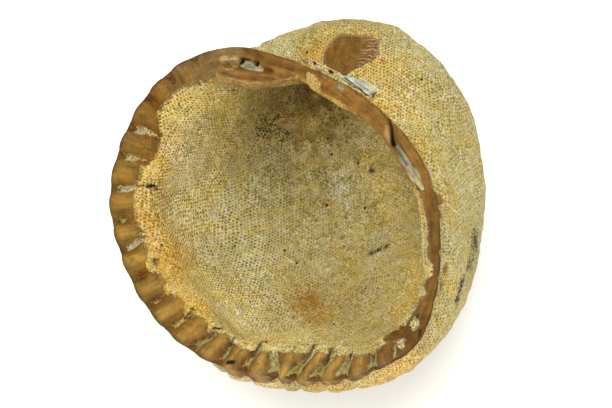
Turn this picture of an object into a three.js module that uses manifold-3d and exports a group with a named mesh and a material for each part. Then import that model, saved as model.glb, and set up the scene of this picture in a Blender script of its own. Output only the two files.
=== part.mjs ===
// Fossil cockle shell: one right valve, hollow side up, grown over inside and out by a chalky crust.
// Sizes are in millimetres. The valve is built in its growth frame: x toward its back end, y toward the
// hinge, z out of the hollow, the margin in the plane z = 0 and the hinge axis along x through the origin.
// It is then tipped as it lies on its back, and the spot it lies on is worn flat.
import * as THREE from "three";
import Module from "manifold-3d";

// Margin of the valve at evenly spaced stations, clockwise from the beak: x, y, width of the bare rim.
const MARGIN = [
  [0.1, 0.2, 2.4],
  [6.6, -0.5, 2.1],
  [12.9, -2.4, 2.7],
  [18.4, -5.8, 2.2],
  [22.4, -11.0, 2.2],
  [25.3, -16.9, 1.9],
  [26.2, -23.4, 3.1],
  [22.8, -28.8, 3.3],
  [17.5, -32.7, 4.2],
  [11.3, -35.1, 3.7],
  [4.8, -36.8, 3.1],
  [-1.8, -36.4, 2.3],
  [-7.9, -34.3, 2.2],
  [-13.5, -30.5, 2.4],
  [-18.0, -25.6, 2.8],
  [-20.3, -19.4, 2.6],
  [-20.5, -12.4, 1.9],
  [-18.0, -6.2, 2.6],
  [-13.0, -2.0, 3.8],
  [-6.5, -0.5, 2.8],
];
const CENTRE = [2.5, -18];

// Bay in the hinge plate just in front of the beak.
const BAY = { station: 19.42, reach: 0.4, depth: 1.2 };

// Growth spiral: each stage is the margin shrunk by growth(turn) and turned about the hinge axis.
const COIL_RATE = 0.7;
const COIL_EASE = 1.0;
const WIDTH_POWER = 0.86;
const BEAK_SHIFT = 1.6;
const OUTER_END = 3.28;
const INNER_END = 2.55;

// Bare rim and the ribs that notch it.
const RIBS = 24;
const RIB_START = 3.85;
const RIB_END = 16.6;
const PITCH_FRONT = 3.95;
const PITCH_BACK = 3.05;
const FURROW_WIDTH = 0.17;
const FURROW_DEPTH = 0.45;
const RIM_NOTCH = 0.25;
const RIM_SLOPE = 0.42;
const HINGE_SLOPE = 0.12;

// Wall and crust.
const WALL = 1.3;
const CRUST = 1.15;
const SHELF_FRONT = 2.6;
const SHELF_BACK = 1.2;
const SHELF_DEPTH = 7;
const INNER_STEP = 0.4;

// Lying on its back: how far it tips toward the free margin, and how much of the lowest spot is worn off.
const TIP_DEG = 11.6;
const WEAR = 0.4;

// Mesh: columns along the margin, and the rings from the depth of the hollow over the rim to the beak.
const COLUMNS_PER_RIB = 5;
const HINGE_COLUMNS = 48;
const INNER_UMBO = [2.5, 2.4, 2.25, 2.08];
const INNER_TURNS = [1.9, 1.7, 1.5, 1.3, 1.1, 0.92, 0.75, 0.6, 0.46, 0.34, 0.24];
const INNER_EDGE = [0.15, 0.08, 0.03];
const RIM_STEPS = [1, 0.8, 0.6, 0.4, 0.2, 0.05];
const OUTER_EDGE = [0.01, 0.04, 0.09, 0.15];
const OUTER_TURNS = [0.24, 0.36, 0.5, 0.65, 0.82, 1.0, 1.18, 1.36, 1.55, 1.74, 1.93, 2.12];
const OUTER_UMBO = [2.3, 2.48, 2.66, 2.84, 3.0, 3.12, 3.21];

// Hinge teeth, sockets and the ligament ridge on the plane of the margin: ends, radius, height.
const HINGE_RELIEF = [
  { from: [-13.2, -5.6], to: [-6.8, -3.5], radius: 1.0, height: 0.9 },
  { from: [-13.2, -4.3], to: [-7.4, -2.7], radius: 0.8, height: -0.9 },
  { from: [0.1, -1.1], to: [0.3, -1.4], radius: 0.8, height: 0.8 },
  { from: [1.5, -0.4], to: [2.0, -0.7], radius: 0.7, height: -0.6 },
  { from: [3.2, -0.9], to: [4.0, -1.2], radius: 0.9, height: 0.6 },
  { from: [1.8, 0.3], to: [6.2, 0.0], radius: 0.9, height: 0.5 },
  { from: [11.6, -3.9], to: [17.4, -6.8], radius: 0.9, height: -0.9 },
  { from: [11.6, -5.0], to: [16.6, -7.7], radius: 0.7, height: 0.5 },
];

// Swellings of the crust on the convex side: station, turn, spread of each, thickness.
const SWELLINGS = [
  { station: 16.6, turn: 1.8, reach: 1.5, arc: 0.6, height: 1.9 },
  { station: 17.9, turn: 0.8, reach: 1.0, arc: 0.5, height: 1.2 },
  { station: 11.0, turn: 2.35, reach: 2.5, arc: 0.4, height: 0.6 },
  { station: 6.2, turn: 1.6, reach: 1.0, arc: 0.6, height: 0.2 },
  { station: 6.4, turn: 0.0, reach: 1.0, arc: 0.5, height: -0.2 },
];

const clamp = (v, lo, hi) => Math.min(Math.max(v, lo), hi);
const smooth = (v, lo, hi) => {
  const t = clamp((v - lo) / (hi - lo), 0, 1);
  return t * t * (3 - 2 * t);
};
const bell = (v) => Math.exp(-v * v);

// Catmull-Rom through the stations: [x, y, rim width] at any station, fractions included.
function margin(station) {
  const n = MARGIN.length;
  const i = Math.floor(station);
  const t = station - i;
  const at = (k) => MARGIN[(((i + k) % n) + n) % n];
  const [a, b, c, d] = [at(-1), at(0), at(1), at(2)];
  return b.map(
    (_, k) =>
      0.5 *
      (2 * b[k] +
        (c[k] - a[k]) * t +
        (2 * a[k] - 5 * b[k] + 4 * c[k] - d[k]) * t * t +
        (3 * b[k] - a[k] - 3 * c[k] + d[k]) * t * t * t),
  );
}

// How far a station lies from the beak along the margin, in stations either way.
function fromBeak(station) {
  const n = MARGIN.length;
  const s = ((station % n) + n) % n;
  return s > n / 2 ? s - n : s;
}

// 1 on the hinge plate, 0 along the free margin.
function hinge(station) {
  const s = fromBeak(station);
  return s > 0 ? 1 - smooth(s, 2.6, 3.8) : 1 - smooth(-s, 2.2, 3.2);
}

// The columns of the mesh, each at its station: some to a rib, its furrow first, and evenly on the hinge.
function columns() {
  const share = [0];
  for (let k = 0; k < RIBS; k++)
    share.push(share[k] + PITCH_BACK + (PITCH_FRONT - PITCH_BACK) * smooth(k / RIBS, 0.45, 0.58));
  const made = [];
  for (let k = 0; k < RIBS * COLUMNS_PER_RIB; k++) {
    const rib = Math.floor(k / COLUMNS_PER_RIB);
    const phase = (k % COLUMNS_PER_RIB) / COLUMNS_PER_RIB;
    const along = (share[rib] + (share[rib + 1] - share[rib]) * phase) / share[RIBS];
    made.push({ station: RIB_START + (RIB_END - RIB_START) * along, phase });
  }
  const span = MARGIN.length - RIB_END + RIB_START;
  for (let k = 0; k < HINGE_COLUMNS; k++)
    made.push({ station: RIB_END + (span * k) / HINGE_COLUMNS, phase: 0.5 });
  return made.map(({ station, phase }) => {
    const [x, y, fullWidth] = margin(station);
    const width = fullWidth - BAY.depth * bell((station - BAY.station) / BAY.reach);
    const furrow = bell(Math.min(phase, 1 - phase) / FURROW_WIDTH) * (1 - hinge(station));
    const [x1, y1] = margin(station + 0.05);
    const [x0, y0] = margin(station - 0.05);
    const length = Math.hypot(x1 - x0, y1 - y0);
    return {
      station,
      x,
      y,
      width,
      inX: (y1 - y0) / length,
      inY: (x0 - x1) / length,
      hinge: hinge(station),
      front: smooth(station, 9.8, 11.2) * (1 - smooth(station, 17, 18)),
      furrow: furrow * (0.5 + 0.5 * smooth(station, 5.6, 6.8)),
    };
  });
}

const growth = (turn) => Math.exp((-COIL_RATE * turn * turn) / (turn + COIL_EASE));

// Puts a point of a stage where the stage stands in space.
function place(x, y, turn, size, lift) {
  return [
    Math.pow(size, WIDTH_POWER) * x + BEAK_SHIFT * 4 * size * (1 - size),
    size * y * Math.cos(turn),
    lift + size * y * Math.sin(turn),
  ];
}

function outerPoint(column, turn) {
  const size = growth(turn) * Math.sqrt(Math.max(1 - Math.pow(turn / OUTER_END, 9), 0));
  return place(column.x, column.y, turn, size, 0);
}

// Length of shell between the margin and a stage.
const reach = (column, turn) => turn * (2 - column.y);

function crust(column, turn) {
  const away = Math.abs(fromBeak(column.station));
  const onset = smooth(reach(column, turn), 0.5 + 1.5 * column.front, 3.4 + 9 * column.front);
  let height = CRUST;
  height += 0.14 * Math.sin(1.9 * column.station + 2.3 * turn) * Math.sin(3.1 * turn + 0.8 * column.station);
  height -= 0.15 * column.furrow * bell(turn / 0.7);
  for (const s of SWELLINGS)
    height +=
      s.height *
      bell(fromBeak(column.station - s.station) / s.reach) *
      bell((turn - s.turn) / s.arc);
  return height * onset * smooth(away, 0.5, 2.2) * (1 - smooth(turn, 2.45, 3.1));
}

// Convex side: the stage surface pushed out along its own normal by the crust.
function outerRing(cols, turn) {
  return cols.map((c, i) => {
    const p = outerPoint(c, turn);
    const next = cols[(i + 1) % cols.length];
    const last = cols[(i + cols.length - 1) % cols.length];
    const along = new THREE.Vector3(...outerPoint(next, turn)).sub(
      new THREE.Vector3(...outerPoint(last, turn)),
    );
    const up = new THREE.Vector3(...outerPoint(c, turn + 0.01)).sub(
      new THREE.Vector3(...outerPoint(c, turn - 0.01)),
    );
    const normal = along.cross(up).normalize();
    const t = crust(c, turn);
    return [p[0] + normal.x * t, p[1] + normal.y * t, p[2] + normal.z * t];
  });
}

function relief(x, y) {
  let height = 0;
  for (const f of HINGE_RELIEF) {
    const dx = f.to[0] - f.from[0];
    const dy = f.to[1] - f.from[1];
    const t = clamp(((x - f.from[0]) * dx + (y - f.from[1]) * dy) / (dx * dx + dy * dy), 0, 1);
    const gap = Math.hypot(x - f.from[0] - t * dx, y - f.from[1] - t * dy);
    height += f.height * (1 - smooth(gap, 0, f.radius));
  }
  return height;
}

// Depth of the inner edge of the bare rim below the margin.
const rimDepth = (c) => c.width * (RIM_SLOPE + (HINGE_SLOPE - RIM_SLOPE) * c.hinge);

// Bare rim: across = 0 on its crest, 1 at the edge of the crust inside.
function rimRing(cols, across) {
  const ridge = Math.sin(Math.PI * clamp(across * 0.8 + 0.25, 0, 1));
  return cols.map((c) => {
    const step = across * c.width + RIM_NOTCH * c.furrow * (1 - across);
    const x = c.x + c.inX * step;
    const y = c.y + c.inY * step;
    const raised = relief(x, y) * c.hinge - FURROW_DEPTH * ridge * c.furrow;
    return [x, y, raised - across * rimDepth(c)];
  });
}

// Hollow side: inset from the stage surface, closing on its own centre deep in the umbo.
function innerRing(cols, turn, extra = 0) {
  const closing = Math.sqrt(Math.max(1 - Math.pow(turn / INNER_END, 5), 0));
  const size = growth(turn);
  return cols.map((c) => {
    const near = bell(reach(c, turn) / 6);
    const depth = reach(c, turn) / SHELF_DEPTH;
    const shelf = (SHELF_BACK + (SHELF_FRONT - SHELF_BACK) * c.front) * depth * Math.exp(1 - depth);
    const deep = (1 - c.hinge) * ((WALL - c.width - 0.35) * (1 - near) + shelf);
    const inset = c.width + 0.35 + deep + extra;
    const lift = (INNER_STEP * (1 - c.hinge) - rimDepth(c)) * bell(reach(c, turn) / 5);
    const x = CENTRE[0] + closing * (c.x + c.inX * inset - CENTRE[0]);
    const y = CENTRE[1] + closing * (c.y + c.inY * inset - CENTRE[1]);
    return place(x, y, turn, size, lift);
  });
}

// Joins closed rings, each as long as its neighbour or half or twice as long, into one closed skin.
function skin(rings, firstPole, lastPole) {
  const points = [];
  const faces = [];
  const starts = rings.map((ring) => points.push(...ring) - ring.length);
  for (let k = 0; k + 1 < rings.length; k++) {
    const a = rings[k].length;
    const b = rings[k + 1].length;
    const p = (i) => starts[k] + (i % a);
    const q = (i) => starts[k + 1] + (i % b);
    for (let i = 0; i < Math.min(a, b); i++) {
      if (a === b) faces.push([p(i), p(i + 1), q(i)], [p(i + 1), q(i + 1), q(i)]);
      else if (a < b)
        faces.push(
          [p(i), q(2 * i + 1), q(2 * i)],
          [p(i), p(i + 1), q(2 * i + 1)],
          [p(i + 1), q(2 * i + 2), q(2 * i + 1)],
        );
      else
        faces.push(
          [p(2 * i), p(2 * i + 1), q(i)],
          [p(2 * i + 1), q(i + 1), q(i)],
          [p(2 * i + 1), p(2 * i + 2), q(i + 1)],
        );
    }
  }
  const first = points.push(firstPole) - 1;
  const last = points.push(lastPole) - 1;
  const n = rings[0].length;
  const m = rings[rings.length - 1].length;
  for (let i = 0; i < n; i++) faces.push([first, starts[0] + ((i + 1) % n), starts[0] + i]);
  const end = starts[starts.length - 1];
  for (let i = 0; i < m; i++) faces.push([last, end + i, end + ((i + 1) % m)]);
  return { points, faces };
}

const every = (list, step) => list.filter((_, i) => i % step === 0);

function valve() {
  const full = columns();
  const half = every(full, 2);
  const quarter = every(full, 4);
  const rings = [];
  rings.push(...INNER_UMBO.map((turn) => innerRing(quarter, turn)));
  rings.push(...INNER_TURNS.map((turn) => innerRing(half, turn)));
  rings.push(...INNER_EDGE.map((turn) => innerRing(full, turn)));
  rings.push(innerRing(full, 0, -0.1));
  rings.push(...RIM_STEPS.map((across) => rimRing(full, across)));
  rings.push(...OUTER_EDGE.map((turn) => outerRing(full, turn)));
  rings.push(...OUTER_TURNS.map((turn) => outerRing(half, turn)));
  rings.push(...OUTER_UMBO.map((turn) => outerRing(quarter, turn)));
  const deep = place(CENTRE[0], CENTRE[1], INNER_END, growth(INNER_END), 0);
  return skin(rings, deep, [0, 0, 0]);
}

const wasm = await Module();
wasm.setup();
const { Manifold, Mesh } = wasm;

function lyingShell() {
  const { points, faces } = valve();
  const grown = new Manifold(
    new Mesh({
      numProp: 3,
      vertProperties: new Float32Array(points.flat()),
      triVerts: new Uint32Array(faces.flat()),
    }),
  );
  const tipped = grown.rotate([TIP_DEG, 0, 0]);
  const low = tipped.boundingBox().min[2] + WEAR;
  const worn = tipped.trimByPlane([0, 0, 1], low);
  const { min, max } = worn.boundingBox();
  return worn.translate([-(min[0] + max[0]) / 2, -(min[1] + max[1]) / 2, -low]);
}

function namedMesh(name, solid, material) {
  const { vertProperties, triVerts } = solid.getMesh();
  const geometry = new THREE.BufferGeometry();
  geometry.setAttribute("position", new THREE.BufferAttribute(vertProperties, 3));
  geometry.setIndex(new THREE.BufferAttribute(triVerts, 1));
  const mesh = new THREE.Mesh(geometry, material);
  mesh.name = name;
  return mesh;
}

const chalk = new THREE.MeshStandardMaterial({ color: 0xc9b178, roughness: 0.85, metalness: 0 });
const group = new THREE.Group();
group.add(namedMesh("cockle_shell", lyingShell(), chalk));
export default group;
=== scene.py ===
"""Fossil cockle shell: the dressed valve, its material, a pale floor, soft light and the camera.

The valve is built in its growth frame, in millimetres: x toward its back end, y toward the hinge, z out
of the hollow, the margin in the plane z = 0 and the hinge axis along x through the origin. A station is a
place along the margin, counted clockwise from the beak. A turn is how far back a growth stage lies on the
spiral, in radians about the hinge axis. lay_down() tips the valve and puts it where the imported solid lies,
in metres.
"""

import math
from types import SimpleNamespace

import bpy
import numpy as np
from mathutils import Matrix, Vector, noise
from mathutils.bvhtree import BVHTree


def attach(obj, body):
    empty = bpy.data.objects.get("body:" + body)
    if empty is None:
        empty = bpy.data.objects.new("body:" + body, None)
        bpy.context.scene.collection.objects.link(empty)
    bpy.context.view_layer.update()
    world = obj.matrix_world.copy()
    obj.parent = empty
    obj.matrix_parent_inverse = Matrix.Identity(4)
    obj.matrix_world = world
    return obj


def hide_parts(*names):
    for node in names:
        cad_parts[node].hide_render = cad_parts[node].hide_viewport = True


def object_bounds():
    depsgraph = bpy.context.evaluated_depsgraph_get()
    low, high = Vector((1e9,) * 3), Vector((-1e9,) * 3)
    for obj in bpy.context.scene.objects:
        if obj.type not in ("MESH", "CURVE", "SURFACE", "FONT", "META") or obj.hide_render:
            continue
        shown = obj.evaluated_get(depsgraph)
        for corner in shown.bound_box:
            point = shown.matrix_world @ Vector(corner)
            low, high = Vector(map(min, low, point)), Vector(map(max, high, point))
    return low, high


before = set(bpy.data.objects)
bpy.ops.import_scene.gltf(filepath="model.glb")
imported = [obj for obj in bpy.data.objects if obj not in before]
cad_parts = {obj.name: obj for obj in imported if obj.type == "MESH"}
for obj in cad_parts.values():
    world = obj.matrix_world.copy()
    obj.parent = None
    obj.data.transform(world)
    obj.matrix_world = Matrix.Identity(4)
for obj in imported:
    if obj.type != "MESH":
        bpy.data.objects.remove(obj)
CAD_LOW, CAD_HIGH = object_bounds()

MM = 0.001
FIT = 0.9905  # the dressed valve is this much smaller, so its lumps stay inside the solid's box
SHIFT = (0.0, 0.0001, 0.0)  # metres, after that

# ---------------------------------------------------------------------------------------------------------
# Driving dimensions, in mm. These are the solid's own, but for a smaller INNER_STEP.

MARGIN = np.array(
    [
        (0.1, 0.2), (6.6, -0.5), (12.9, -2.4), (18.4, -5.8), (22.4, -11.0),
        (25.3, -16.9), (26.2, -23.4), (22.8, -28.8), (17.5, -32.7), (11.3, -35.1),
        (4.8, -36.8), (-1.8, -36.4), (-7.9, -34.3), (-13.5, -30.5), (-18.0, -25.6),
        (-20.3, -19.4), (-20.5, -12.4), (-18.0, -6.2), (-13.0, -2.0), (-6.5, -0.5),
    ]
)  # fmt: skip
STATIONS = len(MARGIN)
SPACING = 6.57  # along the margin from one station to the next
CENTRE = np.array([2.5, -18.0])
COIL_RATE = 0.7
COIL_EASE = 1.0
WIDTH_POWER = 0.86
BEAK_SHIFT = 1.6
OUTER_END = 3.28
INNER_END = 2.55
WALL = 1.3
CRUST = 1.15
SHELF_FRONT = 2.6
SHELF_BACK = 1.2
SHELF_DEPTH = 7.0
INNER_STEP = 0.12
RIM_SLOPE = 0.42
HINGE_SLOPE = 0.12
TIP_DEG = 11.6
BEAK_FROM_LOW = Vector((20.713, 36.055, 24.985))  # growth frame's origin, from the solid's lowest corner

# Width of the bare rim along the margin: station, mm.
RIM_WIDTH = [
    (0.0, 2.4), (0.5, 2.4), (1.0, 2.0), (1.5, 1.9), (2.0, 2.3), (2.5, 2.4), (3.2, 2.1), (4.2, 2.1),
    (4.5, 2.1), (4.75, 1.4), (4.95, 2.3), (5.15, 1.7), (5.5, 2.9), (5.75, 3.0), (6.0, 3.0), (6.1, 2.6),
    (6.3, 3.2), (6.9, 3.1), (7.5, 3.8), (8.3, 4.2), (9.0, 3.7), (9.4, 3.5), (10.0, 3.2),
    (10.7, 2.9), (11.2, 2.8), (12.0, 2.7), (12.9, 2.7), (13.4, 2.6), (14.0, 2.8), (14.8, 2.8),
    (15.6, 2.2), (16.1, 2.0), (16.6, 2.0), (17.0, 2.5), (17.6, 3.6), (18.1, 4.2), (18.5, 4.3),
    (18.9, 3.3), (19.4, 1.5), (19.7, 2.0), (20.0, 2.4),
]  # fmt: skip

# Furrows between the ribs on the bare rim: station at the crest, station at the inner end, length in mm,
# how much crust fills them.
FURROWS = [
    (3.85, 3.85, 1.6, 0.0), (4.3, 4.3, 1.6, 0.0), (4.75, 4.75, 1.6, 0.0), (5.2, 5.2, 2.0, 0.0),
    (5.65, 5.65, 2.2, 0.0), (6.1, 6.1, 2.4, 0.0), (6.5, 6.4, 2.6, 0.3), (6.95, 6.85, 3.2, 0.7),
    (7.55, 7.35, 4.2, 0.85), (8.05, 7.75, 4.4, 0.85), (8.5, 8.2, 5.0, 0.8), (8.85, 9.0, 3.4, 0.8),
    (9.45, 9.25, 5.0, 0.45), (9.95, 9.9, 4.0, 0.35), (10.55, 10.4, 3.2, 0.5), (11.15, 11.1, 3.4, 0.45),
    (11.8, 11.8, 2.6, 0.2), (12.4, 12.45, 2.6, 0.0), (13.0, 13.1, 3.6, 0.8), (13.55, 13.6, 1.6, 0.55),
    (14.2, 14.3, 4.6, 0.9), (14.85, 14.9, 3.2, 0.8), (15.4, 15.45, 3.4, 0.9), (16.0, 16.0, 1.8, 0.0),
    (16.55, 16.55, 1.2, 0.0), (17.15, 17.15, 1.0, 0.0),
]  # fmt: skip
FURROW_HALF_WIDTH = 0.42
FURROW_DEPTH = 0.65
FILL_HALF_WIDTH = 0.95
SPINDLES_FROM = 12.0  # past this station the fillings are spindles, and before it wedges
RIB_CROWN = 0.5  # height of a rib's middle over its flanks
RIM_NOTCH = 0.5  # how far the furrows notch the outline
BOLDER = 0.45  # how much stronger the ribs and furrows are at the bottom of the margin
SLIT_DEPTH = 0.5

# Slits at the inner ends of furrows, cut in and painted with shade: station and depth where each starts and
# ends, half width in mm.
SLITS = [
    (7.45, 2.2, 7.38, 3.3, 0.28), (7.97, 2.0, 7.8, 4.2, 0.32), (8.42, 2.2, 8.2, 5.0, 0.34),
    (9.42, 2.0, 9.25, 4.6, 0.34), (9.93, 2.6, 9.9, 3.8, 0.28), (6.95, 1.2, 6.9, 2.2, 0.26),
    (14.3, 2.6, 14.36, 4.4, 0.2), (13.1, 2.4, 13.12, 3.3, 0.22), (10.45, 2.2, 10.4, 3.2, 0.26),
    (11.12, 2.4, 11.1, 3.3, 0.24),
]  # fmt: skip

# Distance from the margin to the edge of the crust inside: station, mm.
CRUST_EDGE = [
    (0.0, 2.6), (0.7, 2.4), (1.3, 2.3), (1.8, 3.4), (2.1, 2.8), (2.6, 2.9), (2.9, 2.4), (3.3, 2.1),
    (3.8, 1.9), (4.35, 2.0), (4.5, 1.2), (4.7, 1.2), (4.9, 2.3), (5.05, 1.6), (5.3, 2.4), (5.6, 3.0),
    (6.0, 3.2), (6.5, 2.9), (7.0, 2.5), (7.5, 3.0), (8.05, 3.9), (8.5, 3.5), (9.0, 3.3), (9.45, 2.8),
    (9.7, 3.0), (10.1, 3.5), (10.5, 3.0), (10.85, 3.5), (11.2, 2.9), (11.5, 3.2), (11.95, 2.8),
    (12.25, 3.0), (12.5, 2.2), (12.9, 2.8), (13.4, 2.8), (14.1, 2.8), (14.5, 3.1), (14.75, 3.1),
    (15.05, 4.1), (15.5, 3.7), (15.65, 2.9), (15.9, 2.3), (16.5, 2.2), (17.0, 2.9), (17.4, 3.5),
    (18.1, 4.4), (18.5, 4.5), (18.9, 3.5), (19.4, 1.8), (19.7, 2.2), (20.0, 2.6),
]  # fmt: skip

# How far the crust of the convex side laps over the rim, or falls short of it: station, mm.
OUTER_LAP = [
    (0.0, 0.0), (0.4, 0.0), (0.8, 0.25), (1.2, 0.15), (1.6, 0.3), (2.0, 0.1), (2.8, 0.1), (3.1, 0.35),
    (3.3, 0.0), (3.7, 0.1), (4.3, 0.25), (4.8, 0.3), (5.3, 0.25), (5.8, 0.0), (6.8, -0.1), (7.4, -0.9),
    (8.2, -1.1), (8.9, -1.3), (9.3, -1.9), (9.7, -1.6), (10.0, -0.6), (10.3, 0.0), (19.2, 0.0),
    (19.4, 0.35), (19.7, 0.0), (20.0, 0.0),
]  # fmt: skip

# Crust lying over the bare rim, and bare shell showing through the crust: ends in the plane of the margin,
# radius, mm.
COVERED = [
    ((24.2, -20.9), (24.7, -21.9), 0.65),
    ((23.4, -23.8), (24.6, -24.5), 0.6),
    ((-2.5, -1.1), (-0.5, -2.2), 0.75),
]
BARED = [
    ((19.6, -6.9), (20.0, -7.7), 0.42),
    ((20.5, -8.5), (20.9, -9.3), 0.32),
    ((22.2, -24.3), (23.6, -22.6), 0.9),
    ((24.0, -16.4), (24.2, -17.2), 0.8),
]

# Relief of the hinge plate: ends in the plane of the margin, radius, height, all mm.
HINGE_RELIEF = [
    ((-13.2, -5.7), (-6.8, -3.4), 0.95, 0.9),
    ((-13.2, -4.4), (-7.4, -2.7), 0.7, -0.9),
    ((-11.7, -3.3), (-11.3, -3.1), 0.5, -0.8),
    ((-9.7, -2.7), (-9.4, -2.5), 0.5, -0.8),
    ((-12.0, -1.4), (-3.0, -0.7), 0.9, 0.35),
    ((0.1, -1.1), (0.3, -1.4), 0.8, 0.7),
    ((-0.9, -0.3), (-0.7, -0.5), 0.5, -0.4),
    ((1.6, -0.4), (2.0, -0.6), 0.6, -0.5),
    ((3.2, -1.1), (9.0, -2.3), 0.9, 0.35),
    ((11.6, -3.9), (17.3, -6.9), 0.75, -0.8),
    ((11.4, -2.6), (18.2, -6.8), 0.8, 0.4),
    ((11.6, -4.8), (16.6, -7.4), 0.6, 0.5),
    ((9.5, -1.5), (11.4, -3.8), 0.4, -0.7),
    ((9.4, -0.8), (9.8, -0.6), 0.6, 0.5),
]

# Ligament's seat behind the hinge plate: a strip between two places in the plane of the margin.
NYMPH = {"from": (0.9, 0.6), "to": (6.2, 0.75), "narrow": 0.25, "wide": 0.95, "height": 0.2}

# Swellings of the crust on the convex side: station, turn, spread in each, height in mm.
SWELLINGS = [
    (16.6, 1.8, 1.5, 0.6, 1.9),
    (15.2, 2.4, 0.8, 0.3, 0.35),
    (12.1, 2.5, 0.9, 0.25, -0.45),
    (8.9, 0.15, 0.9, 0.25, 0.35),
    (7.0, 0.25, 0.5, 0.3, 0.4),
    (17.9, 0.8, 1.0, 0.5, 1.2),
    (11.0, 2.35, 2.5, 0.4, 0.6),
    (6.2, 1.6, 1.0, 0.6, 0.2),
    (6.4, 0.0, 1.0, 0.5, -0.2),
]

# Bare patch on the umbo, above the beak.
UMBO_PATCH = {
    "blunt": (0.2, 3.15, 0.0), "blunt_radius": 2.6,
    "narrow": (2.05, 4.75, 0.0), "narrow_radius": 1.85,
}  # fmt: skip

LIP = 0.1  # mm by which the edge of the crust stands up
ROUGH_FLOOR = (-4.0, -5.0, -16.0)  # middle of the roughest part of the hollow
ROUGH_REACH = 11.0
HUMP = {"at": (-11.6, 0.6), "spread": (2.2, 1.2), "rise": 1.4}  # crust heaped in front of the umbo
PIT_PITCH = 0.4  # honeycomb of the crust, from pit to pit

# Smooth film over the folds behind the hinge, on a grid in the plane of the margin.
FILM_STEP = 0.4
FILM_PASSES = 3
FILM_ROUNDS = 120  # rounds in which the film is drawn taut over the ground
FILM_SMOOTHING = 24  # rounds after that, in which it may also sink into it
FILM_FLOOR = -4.0  # lowest ground that it covers
FILM_LIFT = 2.0  # most that it may lie over the ground or under it
RELAX_ROUNDS = 60  # rounds that smooth the mesh of the folds after each pass

# Mesh: points along the margin, and the turns that have a ring. Shorter rings have fewer points.
COLUMNS = 640
DEEP_TURNS = np.linspace(2.53, 1.95, 23)[:-1]
HOLLOW_TURNS = 1.95 * (1 - np.linspace(0, 1, 84)[:-1]) ** 1.25 + 0.12
INNER_EDGE_TURNS = (0.12, 0.1, 0.08, 0.06, 0.045, 0.03, 0.018, 0.008)
RIM_STEPS = np.linspace(1, 0.02, 34)
OUTER_EDGE_TURNS = (0.004, 0.012, 0.024, 0.04, 0.06, 0.08, 0.105, 0.13)
BACK_TURNS = np.linspace(0.16, 2.2, 88)
BEAK_TURNS = np.linspace(2.22, 3.26, 40)
LAST_STEP_IN = -0.2  # mm added to the inset of the hollow's last ring, which meets the rim


def smooth(v, lo, hi):
    """0 below lo, 1 above hi, and a smooth step between."""
    t = np.clip((v - lo) / (hi - lo), 0, 1)
    return t * t * (3 - 2 * t)


def bell(v):
    return np.exp(-v * v)


def margin(station):
    """Catmull-Rom through the stations: x and y at any station, fractions included."""
    base = np.floor(station).astype(int)
    t = (station - base)[..., None]
    a, b, c, d = (MARGIN[(base + k) % STATIONS] for k in (-1, 0, 1, 2))
    return 0.5 * (
        2 * b
        + (c - a) * t
        + (2 * a - 5 * b + 4 * c - d) * t * t
        + (3 * b - a - 3 * c + d) * t * t * t
    )


def inward(station):
    """Unit vector across the rim, from the margin toward the hollow."""
    step = margin(station + 0.05) - margin(station - 0.05)
    step /= np.linalg.norm(step, axis=-1, keepdims=True)
    return np.stack([step[..., 1], -step[..., 0]], axis=-1)


def from_beak(station):
    """Stations along the margin from the beak, positive toward the back end."""
    return (np.asarray(station) + STATIONS / 2) % STATIONS - STATIONS / 2


def hinge(station):
    """1 along the hinge, 0 along the free margin."""
    s = from_beak(station)
    return np.where(s > 0, 1 - smooth(s, 2.6, 3.8), 1 - smooth(-s, 2.2, 3.2))


def front(station):
    """1 along the front of the free margin."""
    return smooth(station, 9.8, 11.2) * (1 - smooth(station, 17, 18))


def rim_width(station):
    at, width = np.array(RIM_WIDTH).T
    return np.interp(station % STATIONS, at, width)


def growth(turn):
    """Size of a growth stage, 1 at the margin."""
    return np.exp(-COIL_RATE * turn * turn / (turn + COIL_EASE))


def place(x, y, turn, size, lift):
    """Puts points of a growth stage where the stage stands in space."""
    return np.stack(
        [
            size**WIDTH_POWER * x + BEAK_SHIFT * 4 * size * (1 - size),
            size * y * np.cos(turn),
            lift + size * y * np.sin(turn),
        ],
        axis=-1,
    )


def reach(station, turn):
    """Length of shell between the margin and a stage."""
    return turn * (2 - margin(station)[..., 1])


def furrows(station, depth):
    """For points on the rim: how far into a furrow, how high on a rib's crown, and how far inside the crust
    that fills the furrows, in mm."""
    furrow = np.zeros(station.shape)
    filled = np.full(station.shape, -9.0)
    below = np.full(station.shape, -99.0)
    above = np.full(station.shape, 99.0)
    for crest, end, length, filling in FURROWS:
        line = crest + (end - crest) * smooth(depth, 0.4, length)
        gap = (station - line) * SPACING
        below = np.where(gap >= 0, np.maximum(below, -gap), below)
        above = np.where(gap < 0, np.minimum(above, -gap), above)
        this = bell(gap / FURROW_HALF_WIDTH) * (1 - smooth(depth, length - 0.5, length + 0.4))
        furrow = np.maximum(furrow, this)
        t = np.clip(depth / length, 0, 1)
        spindle = 0.55 * np.sin(math.pi * (0.12 + 0.88 * t)) ** 0.7
        wide = FILL_HALF_WIDTH * filling * (spindle if crest > SPINDLES_FROM else 1 - 0.5 * t)
        wedge = np.minimum(wide - np.abs(gap), np.minimum(depth - 0.45, length - depth))
        filled = np.maximum(filled, wedge if filling else -9)
    pitch = np.clip(above - below, 0.5, 6)
    crown = np.sin(math.pi * np.clip(-below / pitch, 0, 1))
    ribbed = smooth(station, 3.4, 4.2) * (1 - smooth(station, 17.2, 17.8))
    weak = 0.35 + 0.65 * smooth(station, 6.2, 7.2)
    return furrow * ribbed * weak, crown * ribbed * weak, filled


def slits(station, depth):
    """How far into a dark slit, 0 to 1."""
    inside = np.zeros(station.shape)
    for start, near, end, far, half in SLITS:
        t = np.clip((depth - near) / (far - near), -0.1, 1.1)
        gap = (station - start - (end - start) * t) * SPACING
        past_end = np.abs(t - 0.5) > 0.55
        inside = np.maximum(inside, bell(gap / (half * (0.5 + 0.5 * t))) * (1 - past_end))
    return inside


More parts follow.
